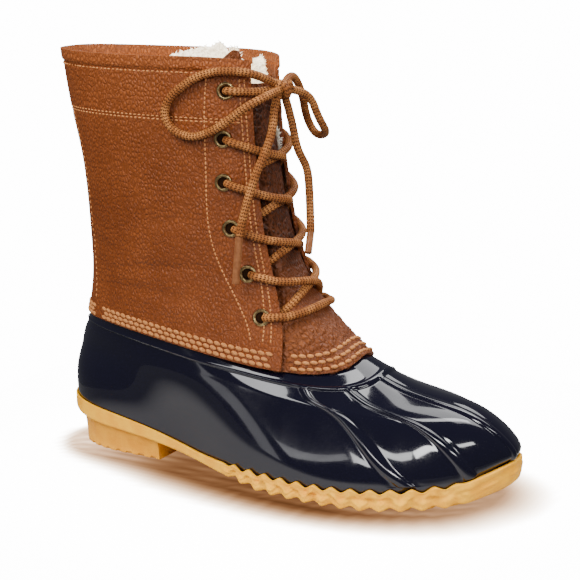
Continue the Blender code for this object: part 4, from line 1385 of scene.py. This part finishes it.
# The boot's shadow is painted into the table as a vertex colour: darker and warmer close round the sole,
# deepest under arch and forefoot, fainter at heel and toe, shifted a little to the near side.
spots = np.array([vertex.co[:2] for vertex in table.data.vertices])
shares = (0.0, 0.35, 0.7, 1.0)
under_sole = np.concatenate([middle_plan * (1 - share) + foot_plan * share for share in shares])
under_sole = (under_sole - MIDDLE[:2]) * MM + SHADE_SHIFT
beside = np.min([np.linalg.norm(spots - spot, axis=1) for spot in under_sole], axis=0)
shaded = np.clip(1 - beside / MM / np.interp(spots[:, 0], SHADE_PLACES, SHADE_REACH), 0, 1)
shaded *= np.interp(spots[:, 0], SHADE_PLACES, SHADE_DEPTH)
light = np.column_stack([np.exp(-shaded[:, None] * SHADE_FADE), np.ones(len(spots))])
table.data.attributes.new("floor_light", "FLOAT_COLOR", "POINT").data.foreach_set("color", light.ravel())
white, shader, at = new_finish("white_table", Roughness=0.8, Specular_IOR_Level=0.0,
                               Emission_Strength=TABLE_GLOW)
away = at.node("ShaderNodeVectorMath", {0: at}, "Value", operation="LENGTH")
seen = at.node("ShaderNodeLightPath", {}, "Is Camera Ray")
floor_light = at.node("ShaderNodeAttribute", {}, "Color", attribute_name="floor_light")
plain = away.between(*TABLE_FADE).mix((0.48, 0.47, 0.455), (0.08, 0.08, 0.08))
# For camera rays the table's colour and glow are darkened by the painted shadow.
painted_shade_colour = at.node("ShaderNodeMix", {0: 1.0, 6: plain, 7: floor_light}, 2, data_type="RGBA",
                 blend_type="MULTIPLY")
feed(shader,
     Base_Color=seen.mix(plain, painted_shade_colour),
     Emission_Color=seen.mix((0.0, 0.0, 0.0), floor_light))
table.data.materials.append(white)

LAMPS = rows_of(
    "name spot start end distance width glow mirrored",
    ("overhead_box", (0.06, 0.0, 0.05), (160, 40), (160, 72), 1.2, 0.70, 3.8, True),
    ("top_strip", (0.09, -0.01, 0.046), (-86, 88), (145, 54), 1.1, 0.15, 9.0, True),
    ("front_fill", (0.0, 0.0, 0.10), (-42, 44), (2, 44), 1.7, 1.2, 12.5, False),
    ("toe_fill", (0.0, 0.0, 0.05), (70, 22), (105, 22), 1.7, 0.7, 7.0, False),
    ("back_fill", (0.0, 0.0, 0.10), (160, 35), (210, 35), 1.7, 1.0, 4.5, False),
    ("left_card", (0.0, -0.04, 0.045), (-35.5, -9), (-35.5, 1), 1.0, 0.09, 1.2, True),
    ("window_strip", (0.02, -0.04, 0.055), (-25, 36), (-24, 64), 1.1, 0.12, 8.0, True),
    ("low_strip", (0.035, -0.045, 0.023), (-31, 3), (-8, 20), 1.1, 0.045, 2.6, True),
    ("side_strip", (0.075, -0.04, 0.03), (-8, 20), (22, 25), 1.1, 0.09, 11.0, True),
    ("toe_strip", (0.10, -0.03, 0.033), (22, 25), (46, 35), 1.1, 0.10, 22.0, True),
    ("far_toe_strip", (0.115, -0.02, 0.035), (53, 30), (77, 34), 1.1, 0.08, 14.0, True),
)


def towards(azimuth, elevation):
    """Direction from the boot: azimuth 0 is the outer side and 90 the toe's."""
    azimuth, elevation = np.radians((azimuth, elevation))
    flat = np.cos(elevation)
    return Vector((flat * np.sin(azimuth), -flat * np.cos(azimuth), np.sin(elevation)))


for row in LAMPS:
    first, last = (Vector(row.spot) + row.distance * towards(*end) for end in (row.start, row.end))
    length = (last - first).length
    lamp = bpy.data.lights.new(row.name, "AREA")
    lamp.shape = "RECTANGLE"
    lamp.size, lamp.size_y = length, row.width
    lamp.energy = row.glow * np.pi * length * row.width
    holder = bpy.data.objects.new(row.name, lamp)
    holder.location = (first + last) / 2
    along = (last - first).normalized()
    back = (holder.location - Vector(row.spot)).normalized()
    across = back.cross(along).normalized()
    holder.rotation_mode = "QUATERNION"
    holder.rotation_quaternion = Matrix((along, across, along.cross(across))).transposed().to_quaternion()
    holder.visible_camera = False
    holder.visible_glossy = row.mirrored
    bpy.context.scene.collection.objects.link(holder)

room = bpy.data.worlds.new("studio_room")
bpy.context.scene.world = room
room.use_nodes = True
backdrop = room.node_tree.nodes["Background"]
backdrop.inputs["Strength"].default_value = 1.0
sight = room.node_tree.nodes.new("ShaderNodeLightPath")
seen = Shade(room.node_tree, sight.outputs["Is Camera Ray"])
feed(backdrop, Color=seen.mix(ROOM_TONE, BACKDROP_TONE))

lens = bpy.data.cameras.new("studio_camera")
lens.sensor_width = SENSOR
lens.lens = FOCAL_LENGTH
camera = bpy.data.objects.new("studio_camera", lens)
camera.location = CAMERA_SPOT
camera.rotation_mode = "QUATERNION"
camera.rotation_quaternion = (Vector(CAMERA_AIM) - camera.location).to_track_quat("-Z", "Y")
bpy.context.scene.collection.objects.link(camera)
bpy.context.scene.camera = camera
